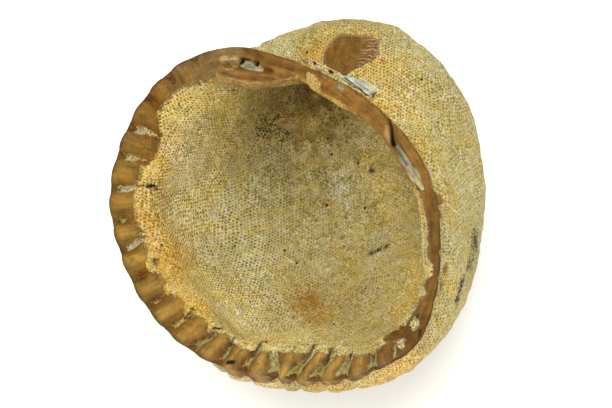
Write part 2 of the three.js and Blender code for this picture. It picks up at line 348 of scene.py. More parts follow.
def capsule(points, start, end):
    """Distance in the plane of the margin to the line between two places, a little more toward its ends."""
    x, y = points[..., 0] - start[0], points[..., 1] - start[1]
    dx, dy = end[0] - start[0], end[1] - start[1]
    t = np.clip((x * dx + y * dy) / (dx * dx + dy * dy), 0, 1)
    return np.hypot(x - t * dx, y - t * dy) / np.sqrt(1 - 0.7 * (2 * t - 1) ** 2)


def relief(points):
    """Height of the hinge plate's teeth, sockets and lamellae."""
    height = np.zeros(points.shape[:-1])
    for start, end, radius, rise in HINGE_RELIEF:
        height += rise * bell(1.5 * capsule(points, start, end) / radius)
    return height


def rim_depth(station, width):
    """How much lower the rim's inner edge is than its crest."""
    return width * (RIM_SLOPE + (HINGE_SLOPE - RIM_SLOPE) * hinge(station))


def nymph(points):
    """1 on the ligament's seat behind the hinge plate, a strip that widens toward the back."""
    start = np.array(NYMPH["from"])
    axis = np.array(NYMPH["to"]) - start
    from_start = points[..., :2] - start
    t = from_start @ axis / (axis @ axis)
    off_axis = np.abs(from_start @ np.array([-axis[1], axis[0]])) / np.linalg.norm(axis)
    width = NYMPH["narrow"] + (NYMPH["wide"] - NYMPH["narrow"]) * np.clip(t, 0, 1)
    across = 1 - smooth(off_axis / width, 0.85, 1.1)
    return across * smooth(t, -0.02, 0.04) * (1 - smooth(t, 0.96, 1.02)) * (points[..., 2] > -2.5)


def rim_ring(station, across):
    """Bare rim: across is 0 on its crest and 1 at the edge of the crust inside."""
    width = rim_width(station)
    depth = across * width
    furrow, crown, _ = furrows(station, depth)
    step = depth + RIM_NOTCH * (furrow - 0.3 * crown) * (1 - across)
    xy = margin(station) + inward(station) * step[..., None]
    edge = np.sin(math.pi * np.clip(across * 0.8 + 0.25, 0, 1))
    on_hinge = hinge(station)
    raised = relief(xy) * on_hinge
    bold = 1 + BOLDER * smooth(station, 6.2, 7.0) * (1 - smooth(station, 10.5, 11.5))
    sculpture = bold * (RIB_CROWN * (crown - 0.6) - FURROW_DEPTH * furrow)
    sculpture = sculpture - SLIT_DEPTH * slits(station, depth)
    raised += sculpture * edge * (1 - on_hinge)
    return np.concatenate([xy, (raised - across * rim_depth(station, width))[..., None]], axis=-1)


def inner_ring(station, turn, extra=0.0):
    """Hollow side: inset from the stage surface, closing on its own centre deep in the umbo."""
    width = rim_width(station)
    closing = math.sqrt(max(1 - (turn / INNER_END) ** 5, 0))
    along = reach(station, turn)
    near = bell(along / 6)
    depth = along / SHELF_DEPTH
    shelf = (SHELF_BACK + (SHELF_FRONT - SHELF_BACK) * front(station)) * depth * np.exp(1 - depth)
    deep = (1 - hinge(station)) * ((WALL - width - 0.35) * (1 - near) + shelf)
    inset = width + 0.35 + deep + extra
    lift = (INNER_STEP * (1 - hinge(station)) - rim_depth(station, width)) * bell(along / 5)
    xy = CENTRE + closing * (margin(station) + inward(station) * inset[..., None] - CENTRE)
    return place(xy[..., 0], xy[..., 1], turn, growth(turn), lift)


def outer_point(station, turn):
    """Convex side of the bare shell."""
    size = growth(turn) * math.sqrt(max(1 - (turn / OUTER_END) ** 9, 0))
    xy = margin(station)
    return place(xy[..., 0], xy[..., 1], turn, size, 0)


def crust(station, turn):
    """Thickness of the crust on the convex side."""
    along = reach(station, turn)
    start = front(station)
    onset = smooth(along, 0.5 + 1.5 * start, 3.4 + 9 * start)
    height = CRUST + 0.14 * np.sin(1.9 * station + 2.3 * turn) * np.sin(3.1 * turn + 0.8 * station)
    furrow, _, _ = furrows(station, np.zeros(station.shape))
    height -= 0.15 * furrow * bell(turn / 0.7)
    for at, at_turn, spread, arc, rise in SWELLINGS:
        height += rise * bell(from_beak(station - at) / spread) * bell((turn - at_turn) / arc)
    away = smooth(np.abs(from_beak(station)), 0.5, 2.2)
    return height * onset * away * (1 - smooth(turn, 2.45, 3.1))


def outer_ring(station, turn):
    """Convex side: the stage surface pushed out along its own normal by the crust."""
    p = outer_point(station, turn)
    along = outer_point(station + 0.03, turn) - outer_point(station - 0.03, turn)
    up = outer_point(station, turn + 0.01) - outer_point(station, turn - 0.01)
    normal = np.cross(along, up)
    normal /= np.linalg.norm(normal, axis=-1, keepdims=True)
    furrow, crown, _ = furrows(station, np.zeros(station.shape))
    bare = bell(reach(station, turn) / 7) * (1 - hinge(station))
    ribs = (0.25 * (crown - 0.6) - 0.3 * furrow) * bare * smooth(turn, 0, 0.03)
    return p + normal * (crust(station, turn) + ribs)[..., None]


def stations():
    """Stations of the mesh's columns, evenly spaced along the margin."""
    fine = np.linspace(0, STATIONS, 4001)
    length = np.r_[0, np.cumsum(np.linalg.norm(np.diff(margin(fine), axis=0), axis=1))]
    return np.interp(np.linspace(0, length[-1], COLUMNS, endpoint=False), length, fine)


def build_rings():
    """All rings of the skin from the depth of the hollow, over the rim, to the beak."""
    full = stations()
    half, quarter = full[::2], full[::4]
    rings = []

    def add(points, station, turn, side, across):
        rings.append((points, station, np.full(len(station), turn), side, across))

    for turn in DEEP_TURNS:
        add(inner_ring(quarter, turn), quarter, turn, 0, 1)
    for turn in HOLLOW_TURNS:
        add(inner_ring(half, turn), half, turn, 0, 1)
    for turn in INNER_EDGE_TURNS:
        add(inner_ring(full, turn), full, turn, 0, 1)
    add(inner_ring(full, 0.0, LAST_STEP_IN), full, 0.0, 0, 1)
    for across in RIM_STEPS:
        add(rim_ring(full, across), full, 0.0, 1, across)
    for turn in OUTER_EDGE_TURNS:
        add(outer_ring(full, turn), full, turn, 2, 0)
    for turn in BACK_TURNS:
        add(outer_ring(half, turn), half, turn, 2, 0)
    for turn in BEAK_TURNS:
        add(outer_ring(quarter, turn), quarter, turn, 2, 0)
    return rings


def ring_faces(start_a, a, start_b, b):
    """Faces between two rings, where the second is as long as the first, or half or twice as long."""
    i = np.arange(min(a, b))
    if a == b:
        j = (i + 1) % a
        return [np.stack([start_a + i, start_a + j, start_b + j, start_b + i], 1)]
    if a < b:
        j = (i + 1) % a
        p, q = start_a, start_b
        return [
            np.stack([p + i, q + 2 * i + 1, q + 2 * i], 1),
            np.stack([p + i, p + j, q + 2 * i + 1], 1),
            np.stack([p + j, q + (2 * i + 2) % b, q + 2 * i + 1], 1),
        ]
    j = (i + 1) % b
    p, q = start_a, start_b
    return [
        np.stack([p + 2 * i, p + 2 * i + 1, q + i], 1),
        np.stack([p + 2 * i + 1, q + j, q + i], 1),
        np.stack([p + 2 * i + 1, p + (2 * i + 2) % a, q + j], 1),
    ]


def build_skin():
    """Points, faces and shell coordinates of the closed skin. The coordinates are station, turn, side (0 in
    the hollow, 1 on the rim, 2 on the convex side) and across, the way over the rim."""
    rings = build_rings()
    counts = [len(r[1]) for r in rings]
    starts = np.r_[0, np.cumsum(counts)]
    points = np.concatenate([r[0] for r in rings])
    coords = np.concatenate(
        [np.stack([r[1], r[2], np.full(n, r[3]), np.full(n, r[4])], 1) for r, n in zip(rings, counts)]
    )
    faces = []
    for k in range(len(rings) - 1):
        for block in ring_faces(starts[k], counts[k], starts[k + 1], counts[k + 1]):
            faces.extend(map(tuple, block.tolist()))
    deep = place(CENTRE[0], CENTRE[1], INNER_END, growth(INNER_END), 0)
    points = np.concatenate([points, [deep], [[0.0, 0.0, 0.0]]])
    coords = np.concatenate([coords, [[0, INNER_END, 0, 1]], [[0, OUTER_END, 2, 0]]])
    first, last = len(points) - 2, len(points) - 1
    n, end, m = counts[0], int(starts[-2]), counts[-1]
    faces += [(first, (i + 1) % n, i) for i in range(n)]
    faces += [(last, end + i, end + (i + 1) % m) for i in range(m)]
    return points, faces, coords


def lay_down(points):
    """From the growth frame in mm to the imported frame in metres."""
    turn = math.radians(TIP_DEG)
    x, y, z = points.T
    beak = np.array(CAD_LOW) + np.array(BEAK_FROM_LOW) * MM
    tipped = np.stack(
        [x, y * math.cos(turn) - z * math.sin(turn), y * math.sin(turn) + z * math.cos(turn)], 1
    )
    laid = (tipped * MM + beak) * FIT + np.array(SHIFT)
    laid[:, 2] = np.maximum(laid[:, 2], 0)
    return laid


def make_mesh(name, points, faces):
    mesh = bpy.data.meshes.new(name)
    mesh.from_pydata(lay_down(points).tolist(), [], faces)
    mesh.polygons.foreach_set("use_smooth", np.ones(len(mesh.polygons), bool))
    mesh.update()
    piece = bpy.data.objects.new(name, mesh)
    bpy.context.scene.collection.objects.link(piece)
    return piece


def top_heights(points, faces, xs, ys):
    """Height of the uppermost surface over a grid in the plane of the margin."""
    tree = BVHTree.FromPolygons(points.tolist(), faces)
    high = np.full((len(xs), len(ys)), -20.0)
    for i, x in enumerate(xs):
        for j, y in enumerate(ys):
            hit = tree.ray_cast(Vector((x, y, 30)), Vector((0, 0, -1)))[0]
            if hit:
                high[i, j] = hit.z
    return high


def fold_weight(points):
    """1 over the folds behind the hinge, falling to 0 around them."""
    x, y, z = points.T
    around = (1 - smooth(y, 3.0, 6.0)) * smooth(y, -2.0, 0.5)
    around *= 1 - smooth(np.abs(x), 14.0, 17.0)
    return np.clip(around * smooth(z, -7.0, -4.0), 0, 1)


def relax(points, faces, weight):
    """Draws each point toward the mean of its neighbours, as far as its weight says."""
    edges = np.array([(f[k - 1], f[k]) for f in faces for k in range(len(f))])
    edges = edges[(weight[edges] > 0).any(axis=1)]
    for _ in range(RELAX_ROUNDS):
        total = np.zeros(points.shape)
        count = np.zeros(len(points))
        for a, b in ((0, 1), (1, 0)):
            np.add.at(total, edges[:, a], points[edges[:, b]])
            np.add.at(count, edges[:, a], 1)
        mean = total / np.maximum(count, 1)[:, None]
        points += (mean - points) * (0.5 * weight * (count > 0))[:, None]


def taut_film(ground, free):
    """How far a smooth film stretched over the ground lies above or below it."""
    film = ground.copy()
    for k in range(FILM_ROUNDS + FILM_SMOOTHING):
        mean = film.copy()
        mean[1:-1, 1:-1] = (film[2:, 1:-1] + film[:-2, 1:-1] + film[1:-1, 2:] + film[1:-1, :-2]) / 4
        held = np.maximum(ground, mean) if k < FILM_ROUNDS else mean
        film = np.where(free, held, ground)
    lift = np.clip(film - ground, -FILM_LIFT, FILM_LIFT)
    return lift * smooth(ground, FILM_FLOOR, FILM_FLOOR + 1.5)


def sampled(grid, xs, ys, points):
    """Value of a grid over each point."""
    i = np.clip((points[:, 0] - xs[0]) / FILM_STEP, 0, len(xs) - 1.001)
    j = np.clip((points[:, 1] - ys[0]) / FILM_STEP, 0, len(ys) - 1.001)
    i0, j0 = i.astype(int), j.astype(int)
    u, v = i - i0, j - j0
    low = grid[i0, j0] * (1 - v) + grid[i0, j0 + 1] * v
    high = grid[i0 + 1, j0] * (1 - v) + grid[i0 + 1, j0 + 1] * v
    return low * (1 - u) + high * u


def fill_behind_hinge(points, faces, coords):
    """Lays the crust on a smooth film over the folds between the hinge plate and the umbo."""
    xs = np.arange(-17.0, 19.0, FILM_STEP)
    ys = np.arange(-1.0, 9.0, FILM_STEP)
    near = np.linspace(-3.2, 3.2, 80)
    edge = np.interp(xs, margin(near)[:, 0], margin(near)[:, 1])
    outer = coords[:, 2] == 2
    for _ in range(FILM_PASSES):
        ground = top_heights(points, faces, xs, ys)
        free = (ys[None, :] > edge[:, None] + 0.15) & (ground > FILM_FLOOR)
        free[[0, -1], :] = False
        free[:, [0, -1]] = False
        lift = taut_film(ground, free) * (1 - smooth(ys, 2.5, 5.0))
        high = sampled(ground, xs, ys, points)
        top = smooth(points[:, 2], high - 1.5, high - 0.6) * outer
        points[:, 2] += sampled(lift, xs, ys, points) * top
        relax(points, faces, np.where(outer, fold_weight(points), 0))
    x, y, z = points.T
    hump = bell((x - HUMP["at"][0]) / HUMP["spread"][0]) * bell((y - HUMP["at"][1]) / HUMP["spread"][1])
    points[:, 2] += HUMP["rise"] * hump * smooth(z, -6.0, -3.5) * outer
    points[:, 2] += NYMPH["height"] * nymph(points) * outer


def vertex_normals(points, faces):
    """Unit vertex normals of the skin."""
    tris = np.array([(f[0], f[k], f[k + 1]) for f in faces for k in range(1, len(f) - 1)])
    a, b, c = (points[tris[:, k]] for k in range(3))
    across = np.cross(b - a, c - a)
    normals = np.zeros(points.shape)
    for k in range(3):
        np.add.at(normals, tris[:, k], across)
    return normals / (np.linalg.norm(normals, axis=1, keepdims=True) + 1e-12)


def field(points, size, seed):
    """Smooth noise from -1 to 1 whose lumps are about size mm across."""
    offset = Vector((13.7, 5.1, 9.3)) * seed
    scale = 1 / size
    return np.array([noise.noise(Vector(p) * scale + offset) for p in points.tolist()]) * 1.6


def depth_inward(coords):
    """Distance in mm from the margin: into the hollow, or, where negative, down the convex side."""
    station, turn, side, across = coords.T
    width = rim_width(station)
    along = reach(station, turn)
    return np.select([side == 0, side == 1], [width + 0.2 + 0.9 * along, across * (width + 0.2)], -along)


def edge_distance(points, coords):
    """Distance in mm past the edge of the crust: negative on bare shell, positive on crust."""
    station, turn, side, _ = coords.T
    depth = depth_inward(coords)
    _, crown, filled = furrows(station, np.abs(depth))
    ribs_in = 0.5 * smooth(station, 9.6, 10.6) * (1 - smooth(station, 13.0, 13.6))
    inner = depth - np.interp(station, *np.array(CRUST_EDGE).T) - ribs_in * (crown - 0.35)
    inner = np.maximum(inner, np.where(side < 2, filled, -9))
    lap = np.interp(station, *np.array(OUTER_LAP).T)
    strip = smooth(station, 9.8, 11.6) * (1 - smooth(station, 14.0, 17.6))
    bare_to = np.where(hinge(station) > 0.5, 0, 0.35 + 3.8 * strip) - lap
    past = np.where((side == 2) | (depth < 0.6 * rim_width(station)), -depth - bare_to, -9)
    past = np.maximum(past, np.where(side < 2, inner, -9))
    open_face = (side < 2) | (turn < 0.3)
    for start, end, radius in COVERED:
        past = np.where(open_face, np.maximum(past, radius - capsule(points, start, end)), past)
    for start, end, radius in BARED:
        past = np.where(open_face, np.minimum(past, capsule(points, start, end) - radius), past)
    return past


def rough_floor(points):
    return bell(np.linalg.norm(points - ROUGH_FLOOR, axis=1) / ROUGH_REACH)


def roughen(points, faces, coords):
    """Lumps of the crust and unevenness of the bare shell, along the normals."""
    side = coords[:, 2]
    normals = vertex_normals(points, faces)
    past = edge_distance(points, coords)
    on_crust = smooth(past, -0.3, 1.2)
    floor = rough_floor(points) * (side == 0)
    lumps = 0.13 * field(points, 4.5, 1) + (0.07 + 0.2 * floor) * field(points, 1.6, 2)
    lumps += (0.05 + 0.06 * floor) * field(points, 0.75, 3)
    height = lumps * on_crust * np.where(side == 2, 1.2, 0.9)
    height += 0.04 * field(points, 1.1, 4) * (1 - on_crust)
    height -= np.where(side == 2, 0.12 * on_crust, 0)
    height += LIP * bell((past - 0.5) / 0.5) * (side != 2)
    return points + normals * height[:, None], normals


points, faces, coords = build_skin()
fill_behind_hinge(points, faces, coords)
plain = points.copy()
points, normals = roughen(points, faces, coords)
shell = make_mesh("shell", points, faces)


# ---------------------------------------------------------------------------------------------------------
# Colour. The skin carries its large colour areas as vertex attributes; the material adds the fine detail.


def srgb(r, g, b):
    """Linear colour from 0 to 255 display values."""
    c = np.array([r, g, b]) / 255
    return np.where(c <= 0.04045, c / 12.92, ((c + 0.055) / 1.055) ** 2.4)


HOLLOW = srgb(172, 160, 110)
OUTSIDE = srgb(172, 162, 114)
BROWN = srgb(124, 89, 33)
FILLING = srgb(172, 164, 128)
PITTED_FILLING = srgb(164, 154, 98)
HINGE_CRUST = srgb(188, 150, 76)
LAMELLA = srgb(112, 86, 66)
CRUST_SHADOW = srgb(118, 88, 72)
# Painted shade for the rib flanks and a painted highlight for the rib crowns.
RIB_FLANK_SHADE = srgb(104, 62, 18)
RIB_TOP_HIGHLIGHT = srgb(168, 132, 60)
# Painted shade in the furrows' slits.
SLIT_SHADE = srgb(56, 50, 36)
NYMPH_COLOUR = srgb(198, 198, 178)
PATCH_BROWN = srgb(110, 76, 20)
PATCH_RIB = srgb(182, 156, 124)
# Painted shade along the brink of the umbo's patch.
PATCH_BRINK_SHADE = srgb(66, 46, 22)
SOIL = srgb(46, 37, 18)

# Furrows whose filling is clean and pale: station, half width in stations, strength.
CLEAN_FILLINGS = [(13.1, 0.2, 1.0), (14.25, 0.25, 1.0), (15.4, 0.2, 0.6), (14.9, 0.2, 0.3)]

# Colour areas of the hollow: place in the growth frame, radius, colour, strength.
HOLLOW_AREAS = [
    # Painted shade: the first two areas darken the deep cavity under the hinge plate.
    ((-6.0, -1.6, -14.6), 5.5, (102, 82, 44), 0.95),
    ((-10.5, -5.0, -12.5), 3.5, (140, 118, 68), 0.7),
    ((-9.8, -6.4, -14.4), 3.0, (172, 150, 92), 0.8),
    ((-6.9, -6.0, -17.0), 2.8, (176, 154, 96), 0.8),
    ((-8.7, -14.0, -16.2), 5.0, (158, 146, 100), 0.9),
    ((-4.8, -7.6, -18.8), 2.8, (194, 176, 116), 0.8),
    # Painted light: these two lighten the floor at the cavity's edge, against the shade that falls there.
    ((-2.8, -3.6, -18.2), 3.0, (202, 182, 118), 0.8),
    ((0.9, -3.4, -19.5), 4.0, (234, 220, 162), 0.9),
    ((4.0, -7.0, -20.3), 5.0, (224, 204, 132), 0.9),
    ((7.6, -8.6, -20.2), 3.0, (222, 206, 142), 0.8),
    ((10.5, -12.5, -19.6), 4.5, (202, 186, 124), 0.8),
    ((14.0, -15.5, -18.5), 5.0, (182, 168, 112), 0.8),
    ((10.0, -23.0, -17.0), 4.5, (162, 144, 92), 0.8),
    # Painted light: lighter high on the front wall, against the shade that falls there.
    ((-14.2, -8.2, -5.5), 4.4, (234, 218, 138), 0.95),
    ((-17.0, -12.5, -1.5), 5.5, (214, 192, 116), 0.9),
    ((-17.0, -20.0, -1.5), 4.5, (212, 180, 92), 0.9),
    ((-14.0, -25.5, -1.5), 4.5, (202, 172, 98), 0.9),
    ((-10.5, -26.5, -6.0), 3.5, (208, 176, 94), 0.8),
    ((-5.5, -28.5, -8.0), 3.5, (216, 194, 118), 0.9),
    ((-8.0, -29.5, -2.5), 4.5, (208, 168, 82), 0.9),
    ((-2.0, -32.0, -2.5), 4.5, (206, 172, 88), 0.9),
    ((-4.0, -30.0, -7.0), 4.0, (200, 180, 102), 0.8),
    ((6.0, -31.0, -3.0), 5.0, (208, 182, 106), 0.9),
    ((1.5, -31.0, -7.5), 4.0, (220, 202, 132), 0.9),
    ((8.0, -28.5, -10.0), 4.5, (216, 198, 128), 0.9),
    ((13.0, -26.0, -9.0), 4.5, (208, 190, 120), 0.9),
    ((13.0, -28.0, -4.0), 4.5, (194, 172, 100), 0.9),
    ((-12.4, -18.5, -11.5), 3.2, (206, 180, 102), 0.9),
    ((-9.0, -21.0, -13.0), 6.0, (190, 182, 136), 0.9),
    ((-14.2, -14.0, -7.8), 3.8, (216, 200, 144), 0.9),
    ((-13.6, -18.0, -6.0), 3.6, (232, 216, 164), 0.95),
    ((-11.6, -22.4, -8.4), 3.6, (220, 204, 146), 0.85),
    ((-0.9, -29.6, -9.0), 3.5, (220, 212, 164), 0.8),
    ((-3.0, -27.0, -13.0), 6.0, (196, 184, 132), 0.8),
    ((7.6, -26.2, -15.2), 3.2, (162, 128, 58), 0.8),
    ((4.6, -24.8, -17.0), 2.6, (150, 112, 44), 0.9),
    ((-0.4, -10.6, -20.6), 2.6, (212, 206, 164), 0.7),
    ((15.2, -13.0, -17.2), 3.0, (212, 188, 112), 0.8),
    ((16.4, -17.0, -15.6), 3.2, (220, 190, 102), 0.85),
    ((16.8, -20.5, -14.4), 3.0, (208, 184, 108), 0.75),
    # Painted light: these two lighten the hollow's wall near the back end, against the shade that falls
    # there.
    ((18.0, -13.0, -9.0), 6.0, (230, 198, 110), 0.9),
    ((20.0, -20.0, -7.0), 5.5, (226, 190, 88), 0.9),
    ((14.8, -24.3, -13.6), 4.5, (170, 154, 102), 0.8),
]

# Colour areas of the convex side.
OUTSIDE_AREAS = [
    ((-3.0, 1.8, -0.5), 3.0, (176, 134, 52), 0.9),
    ((0.9, 4.6, 0.0), 4.4, (186, 146, 60), 0.9),
    ((-1.0, 8.0, -3.0), 5.0, (158, 142, 82), 0.8),
    ((-6.0, 3.2, -1.0), 3.0, (154, 142, 82), 0.7),
    ((5.0, 2.5, -1.5), 4.0, (186, 160, 86), 0.8),
    ((9.5, 0.3, -1.5), 4.0, (190, 170, 106), 0.8),
    ((14.5, -2.5, -1.5), 3.5, (184, 162, 88), 0.6),
    ((19.0, -6.5, -2.0), 3.5, (180, 154, 80), 0.5),
    ((24.0, -27.0, -3.0), 5.0, (228, 192, 112), 0.85),
    ((26.0, -16.0, -6.0), 6.0, (190, 176, 120), 0.8),
    ((19.0, -32.8, -3.0), 4.0, (222, 190, 126), 0.8),
    ((10.0, -36.0, -2.5), 5.0, (224, 200, 140), 0.9),
]

# Colour areas of the bare shell.
SHELL_AREAS = [
    ((-19.0, -13.0, 0.0), 6.0, (116, 76, 14), 0.85),
    ((-19.0, -22.0, 0.0), 6.0, (116, 86, 28), 0.9),
    ((-12.0, -31.0, 0.0), 7.0, (122, 94, 24), 0.9),
    ((-6.0, -34.0, 0.0), 5.0, (106, 80, 24), 0.9),
    ((-15.5, -6.0, 0.0), 4.0, (110, 90, 54), 0.8),
    ((12.0, -34.0, 0.0), 9.0, (116, 86, 42), 0.9),
    ((23.0, -15.0, 0.0), 8.0, (98, 71, 30), 0.9),
    ((24.5, -24.0, 0.0), 5.0, (96, 66, 26), 0.9),
    ((6.0, -1.0, 0.0), 5.0, (130, 91, 36), 0.8),
]

# Colours of the hinge: ends in the plane of the margin, radius, colour, strength.
HINGE_COLOURS = [
    ((-13.0, -1.6), (-3.0, -0.5), 1.1, (104, 70, 28), 0.7),
    ((-15.5, -3.4), (-12.0, -2.4), 1.2, (122, 98, 54), 0.8),
    ((-13.4, -5.9), (-7.2, -4.2), 0.8, (188, 164, 108), 0.65),
    ((-13.3, -5.4), (-6.8, -3.5), 0.95, (126, 88, 40), 0.95),
    # Painted highlight on the front tooth.
    ((-12.6, -4.9), (-11.8, -4.6), 0.4, (190, 156, 100), 0.6),
    ((-11.0, -5.1), (-8.0, -4.1), 0.4, (132, 84, 34), 0.5),
    ((-13.9, -4.1), (-13.2, -3.8), 0.6, (172, 148, 88), 0.7),
    ((-12.8, -3.9), (-11.8, -3.3), 0.6, (184, 168, 112), 0.8),
    ((-11.6, -3.5), (-8.8, -2.9), 0.5, (186, 180, 146), 0.95),
    # Painted shade: black in the sockets beside the front tooth and in the gap between them.
    ((-11.7, -3.6), (-11.4, -2.9), 0.26, (36, 28, 14), 1.0),
    ((-11.4, -2.8), (-10.4, -2.6), 0.2, (44, 34, 18), 1.0),
    ((-9.7, -2.8), (-9.3, -2.5), 0.36, (30, 23, 11), 1.0),
    ((-2.8, -0.3), (-0.4, -0.6), 0.6, (118, 78, 26), 0.8),
    ((0.1, -1.1), (0.3, -1.5), 0.7, (138, 82, 34), 0.9),
    ((-1.0, -0.1), (-0.5, -0.4), 0.4, (140, 132, 100), 0.9),
    ((1.6, -0.3), (2.1, -0.7), 0.6, (154, 140, 116), 0.9),
    ((9.3, -0.8), (9.8, -0.5), 0.5, (150, 124, 92), 0.9),
    ((9.9, -2.4), (11.0, -3.9), 0.7, (160, 124, 74), 0.7),
    ((11.3, -4.2), (16.6, -7.6), 0.75, (140, 88, 32), 0.8),
    ((11.8, -3.9), (17.3, -6.9), 0.55, (176, 178, 156), 1.0),
    ((14.8, -5.5), (16.8, -6.6), 0.75, (176, 168, 136), 1.0),
    ((11.6, -4.0), (14.0, -5.3), 0.25, (92, 88, 62), 0.8),
    # Painted shade: black in the groove at the back end of the hinge plate.
    ((9.5, -1.3), (11.4, -4.0), 0.26, (24, 18, 9), 1.0),
]

# Marks on any surface: ends in the growth frame, radius, colour, strength.
MARKS = [
    ((-3.3, 0.65, 0.0), (-1.9, 0.4, 0.0), 0.4, (178, 172, 146), 0.8),
    ((-2.7, 0.62, 0.0), (-2.4, 0.5, 0.0), 0.2, (26, 20, 10), 1.0),
    ((5.3, 1.1, 0.0), (6.3, 1.0, 0.0), 0.4, (214, 196, 140), 0.7),
    ((1.9, 0.6, 0.0), (5.7, -0.1, 0.0), 0.15, (56, 50, 38), 1.0),
    ((3.4, 0.75, 0.0), (5.4, 0.5, 0.0), 0.12, (122, 116, 98), 0.8),
    ((-0.3, 0.5, 0.0), (0.1, 0.5, 0.0), 0.24, (30, 24, 12), 1.0),
    ((-15.0, -21.6, -2.4), (-15.3, -22.0, -2.2), 0.35, (40, 30, 14), 1.0),
    ((-10.7, -6.1, -1.5), (-9.6, -5.8, -1.5), 0.32, (40, 30, 14), 1.0),
    ((-9.0, -29.9, -1.1), (-9.3, -29.5, -1.3), 0.42, (58, 50, 34), 0.9),
    ((2.0, -33.2, -1.7), (2.4, -33.0, -1.9), 0.34, (30, 24, 14), 1.0),
    ((9.7, -34.4, -0.8), (9.8, -34.3, -0.8), 0.3, (34, 26, 14), 0.9),
    ((13.0, -34.4, -0.8), (13.1, -34.3, -0.8), 0.22, (50, 36, 20), 0.9),
    ((13.4, -33.4, -0.9), (13.5, -33.3, -0.9), 0.2, (50, 36, 20), 0.9),
    ((-2.4, -34.7, -0.6), (-2.3, -34.6, -0.6), 0.24, (30, 24, 14), 1.0),
    ((-1.9, -32.5, -1.3), (-1.6, -32.3, -1.4), 0.34, (44, 38, 26), 0.9),
    ((-7.2, -29.8, -3.8), (-6.2, -29.8, -4.4), 0.2, (60, 50, 28), 0.9),
    ((-6.4, -31.6, -2.5), (-6.3, -31.5, -2.5), 0.3, (60, 48, 24), 0.9),
    ((-9.3, -15.5, -17.5), (-9.2, -15.4, -17.5), 0.25, (150, 70, 34), 0.8),
    ((2.0, -6.6, -20.5), (1.7, -6.2, -20.4), 0.35, (46, 36, 18), 1.0),
    ((7.1, -16.2, -20.1), (8.9, -14.2, -20.1), 0.26, (52, 42, 22), 1.0),
    ((7.5, -16.6, -20.1), (9.0, -15.0, -20.1), 0.24, (206, 198, 160), 0.8),
    ((-1.5, -10.7, -20.4), (-0.9, -10.4, -20.5), 0.3, (208, 204, 176), 0.7),
    ((-0.4, -9.8, -20.5), (0.2, -9.6, -20.6), 0.35, (208, 204, 176), 0.7),
    ((24.2, -13.4, -1.3), (24.6, -14.6, -1.2), 0.25, (130, 84, 34), 0.9),
    ((24.9, -15.8, -1.2), (25.1, -16.5, -1.2), 0.25, (140, 92, 40), 0.9),
    ((24.3, -20.3, -0.9), (24.4, -20.6, -0.9), 0.25, (40, 32, 18), 0.9),
    ((25.6, -21.8, -0.6), (25.9, -22.3, -0.6), 0.35, (44, 30, 14), 0.9),
    ((6.3, -35.9, -0.3), (6.8, -35.6, -0.3), 0.4, (22, 16, 8), 1.0),
]

# Rusty and dirty places: place in the growth frame, radius, strength.
RUSTY = [
    ((-14.0, -25.5, -2.0), 5.5, 1.0),
    ((-8.0, -29.5, -3.0), 5.0, 0.9),
    ((-17.0, -16.0, -2.0), 4.0, 0.6),
    ((-16.5, -20.0, -2.0), 4.0, 0.8),
    ((0.0, -32.0, -3.0), 5.0, 0.7),
    ((15.0, -29.0, -3.0), 4.0, 0.5),
    ((9.0, 0.0, -1.5), 5.0, 0.6),
    ((1.0, 4.0, 0.0), 6.0, 0.7),
    ((24.0, -27.0, -3.0), 5.0, 0.8),
    ((25.0, -22.0, -3.0), 3.0, 0.8),
    ((4.5, -25.5, -16.5), 3.0, 0.8),
]
DIRTY = [
    ((22.6, -8.8, -10.2), 1.8, 2.0),
    ((24.1, -11.7, -8.6), 1.2, 1.8),
    ((25.6, -14.5, -6.6), 1.3, 2.2),
    ((26.0, -16.3, -5.5), 1.3, 2.2),
    ((-4.0, -4.0, -15.0), 6.5, 0.6),
    ((-10.5, -8.3, -14.0), 3.5, 0.7),
]

# Places where the honeycomb is plain to see. Elsewhere it is faint and the crust is grainy.
COMBED = [
    ((-16.0, -12.0, -3.0), 7.0, 1.0),
    ((-16.0, -18.0, -3.0), 6.0, 0.9),
    ((-13.0, -25.0, -4.0), 6.0, 0.7),
    ((-8.0, -22.0, -14.0), 9.0, 0.8),
    ((-1.0, -28.0, -12.0), 7.0, 0.7),
    ((2.0, 3.0, 0.0), 7.0, 0.3),
    ((9.0, 1.0, -2.0), 7.0, 0.15),
    ((25.0, -25.0, -3.0), 6.0, 0.8),
]


def areas(points, marks, seed):
    """Weights of soft round areas with uneven edges, one row each."""
    uneven = 1 + 0.35 * field(points, 3.0, seed) + 0.2 * field(points, 1.0, seed + 1)
    return [
        mark[-1] * bell(np.linalg.norm(points - mark[0], axis=1) / mark[1] * uneven) ** 1.3
        for mark in marks
    ]


def tinted(base, points, marks, seed):
    """A base colour with colour areas laid over it."""
    tint = base * (1 + 0.08 * field(points, 9, seed))[:, None]
    for mark, weight in zip(marks, areas(points, marks, seed + 1)):
        tint = tint * (1 - weight[:, None]) + srgb(*mark[2]) * weight[:, None]
    return tint


def over(tint, colour, weight):
    return tint * (1 - weight[:, None]) + colour * weight[:, None]


def crust_tints(points, coords, past):
    """Tint of the crust: soft areas, a yellow edge at the hinge, and greyer crust in the furrows."""
    station, _, side, _ = coords.T
    inside = tinted(HOLLOW, points, HOLLOW_AREAS, 21)
    outside = tinted(OUTSIDE, points, OUTSIDE_AREAS, 31)
    tint = np.where(side[:, None] == 2, outside, inside)
    near_hinge = (1 - smooth(np.abs(past - 0.15), 0.15, 0.4)) * hinge(station) * (side < 2)
    tint = over(tint, HINGE_CRUST, 0.85 * near_hinge)
    filled = furrows(station, np.abs(depth_inward(coords)))[2]
    filling = smooth(filled, -0.2, 0.1) * (side == 1)
    clean = sum(weight * bell(from_beak(station - at) / wide) for at, wide, weight in CLEAN_FILLINGS)
    tint = over(tint, PITTED_FILLING, 0.8 * filling)
    return over(tint, FILLING, filling * np.clip(clean, 0, 0.95))


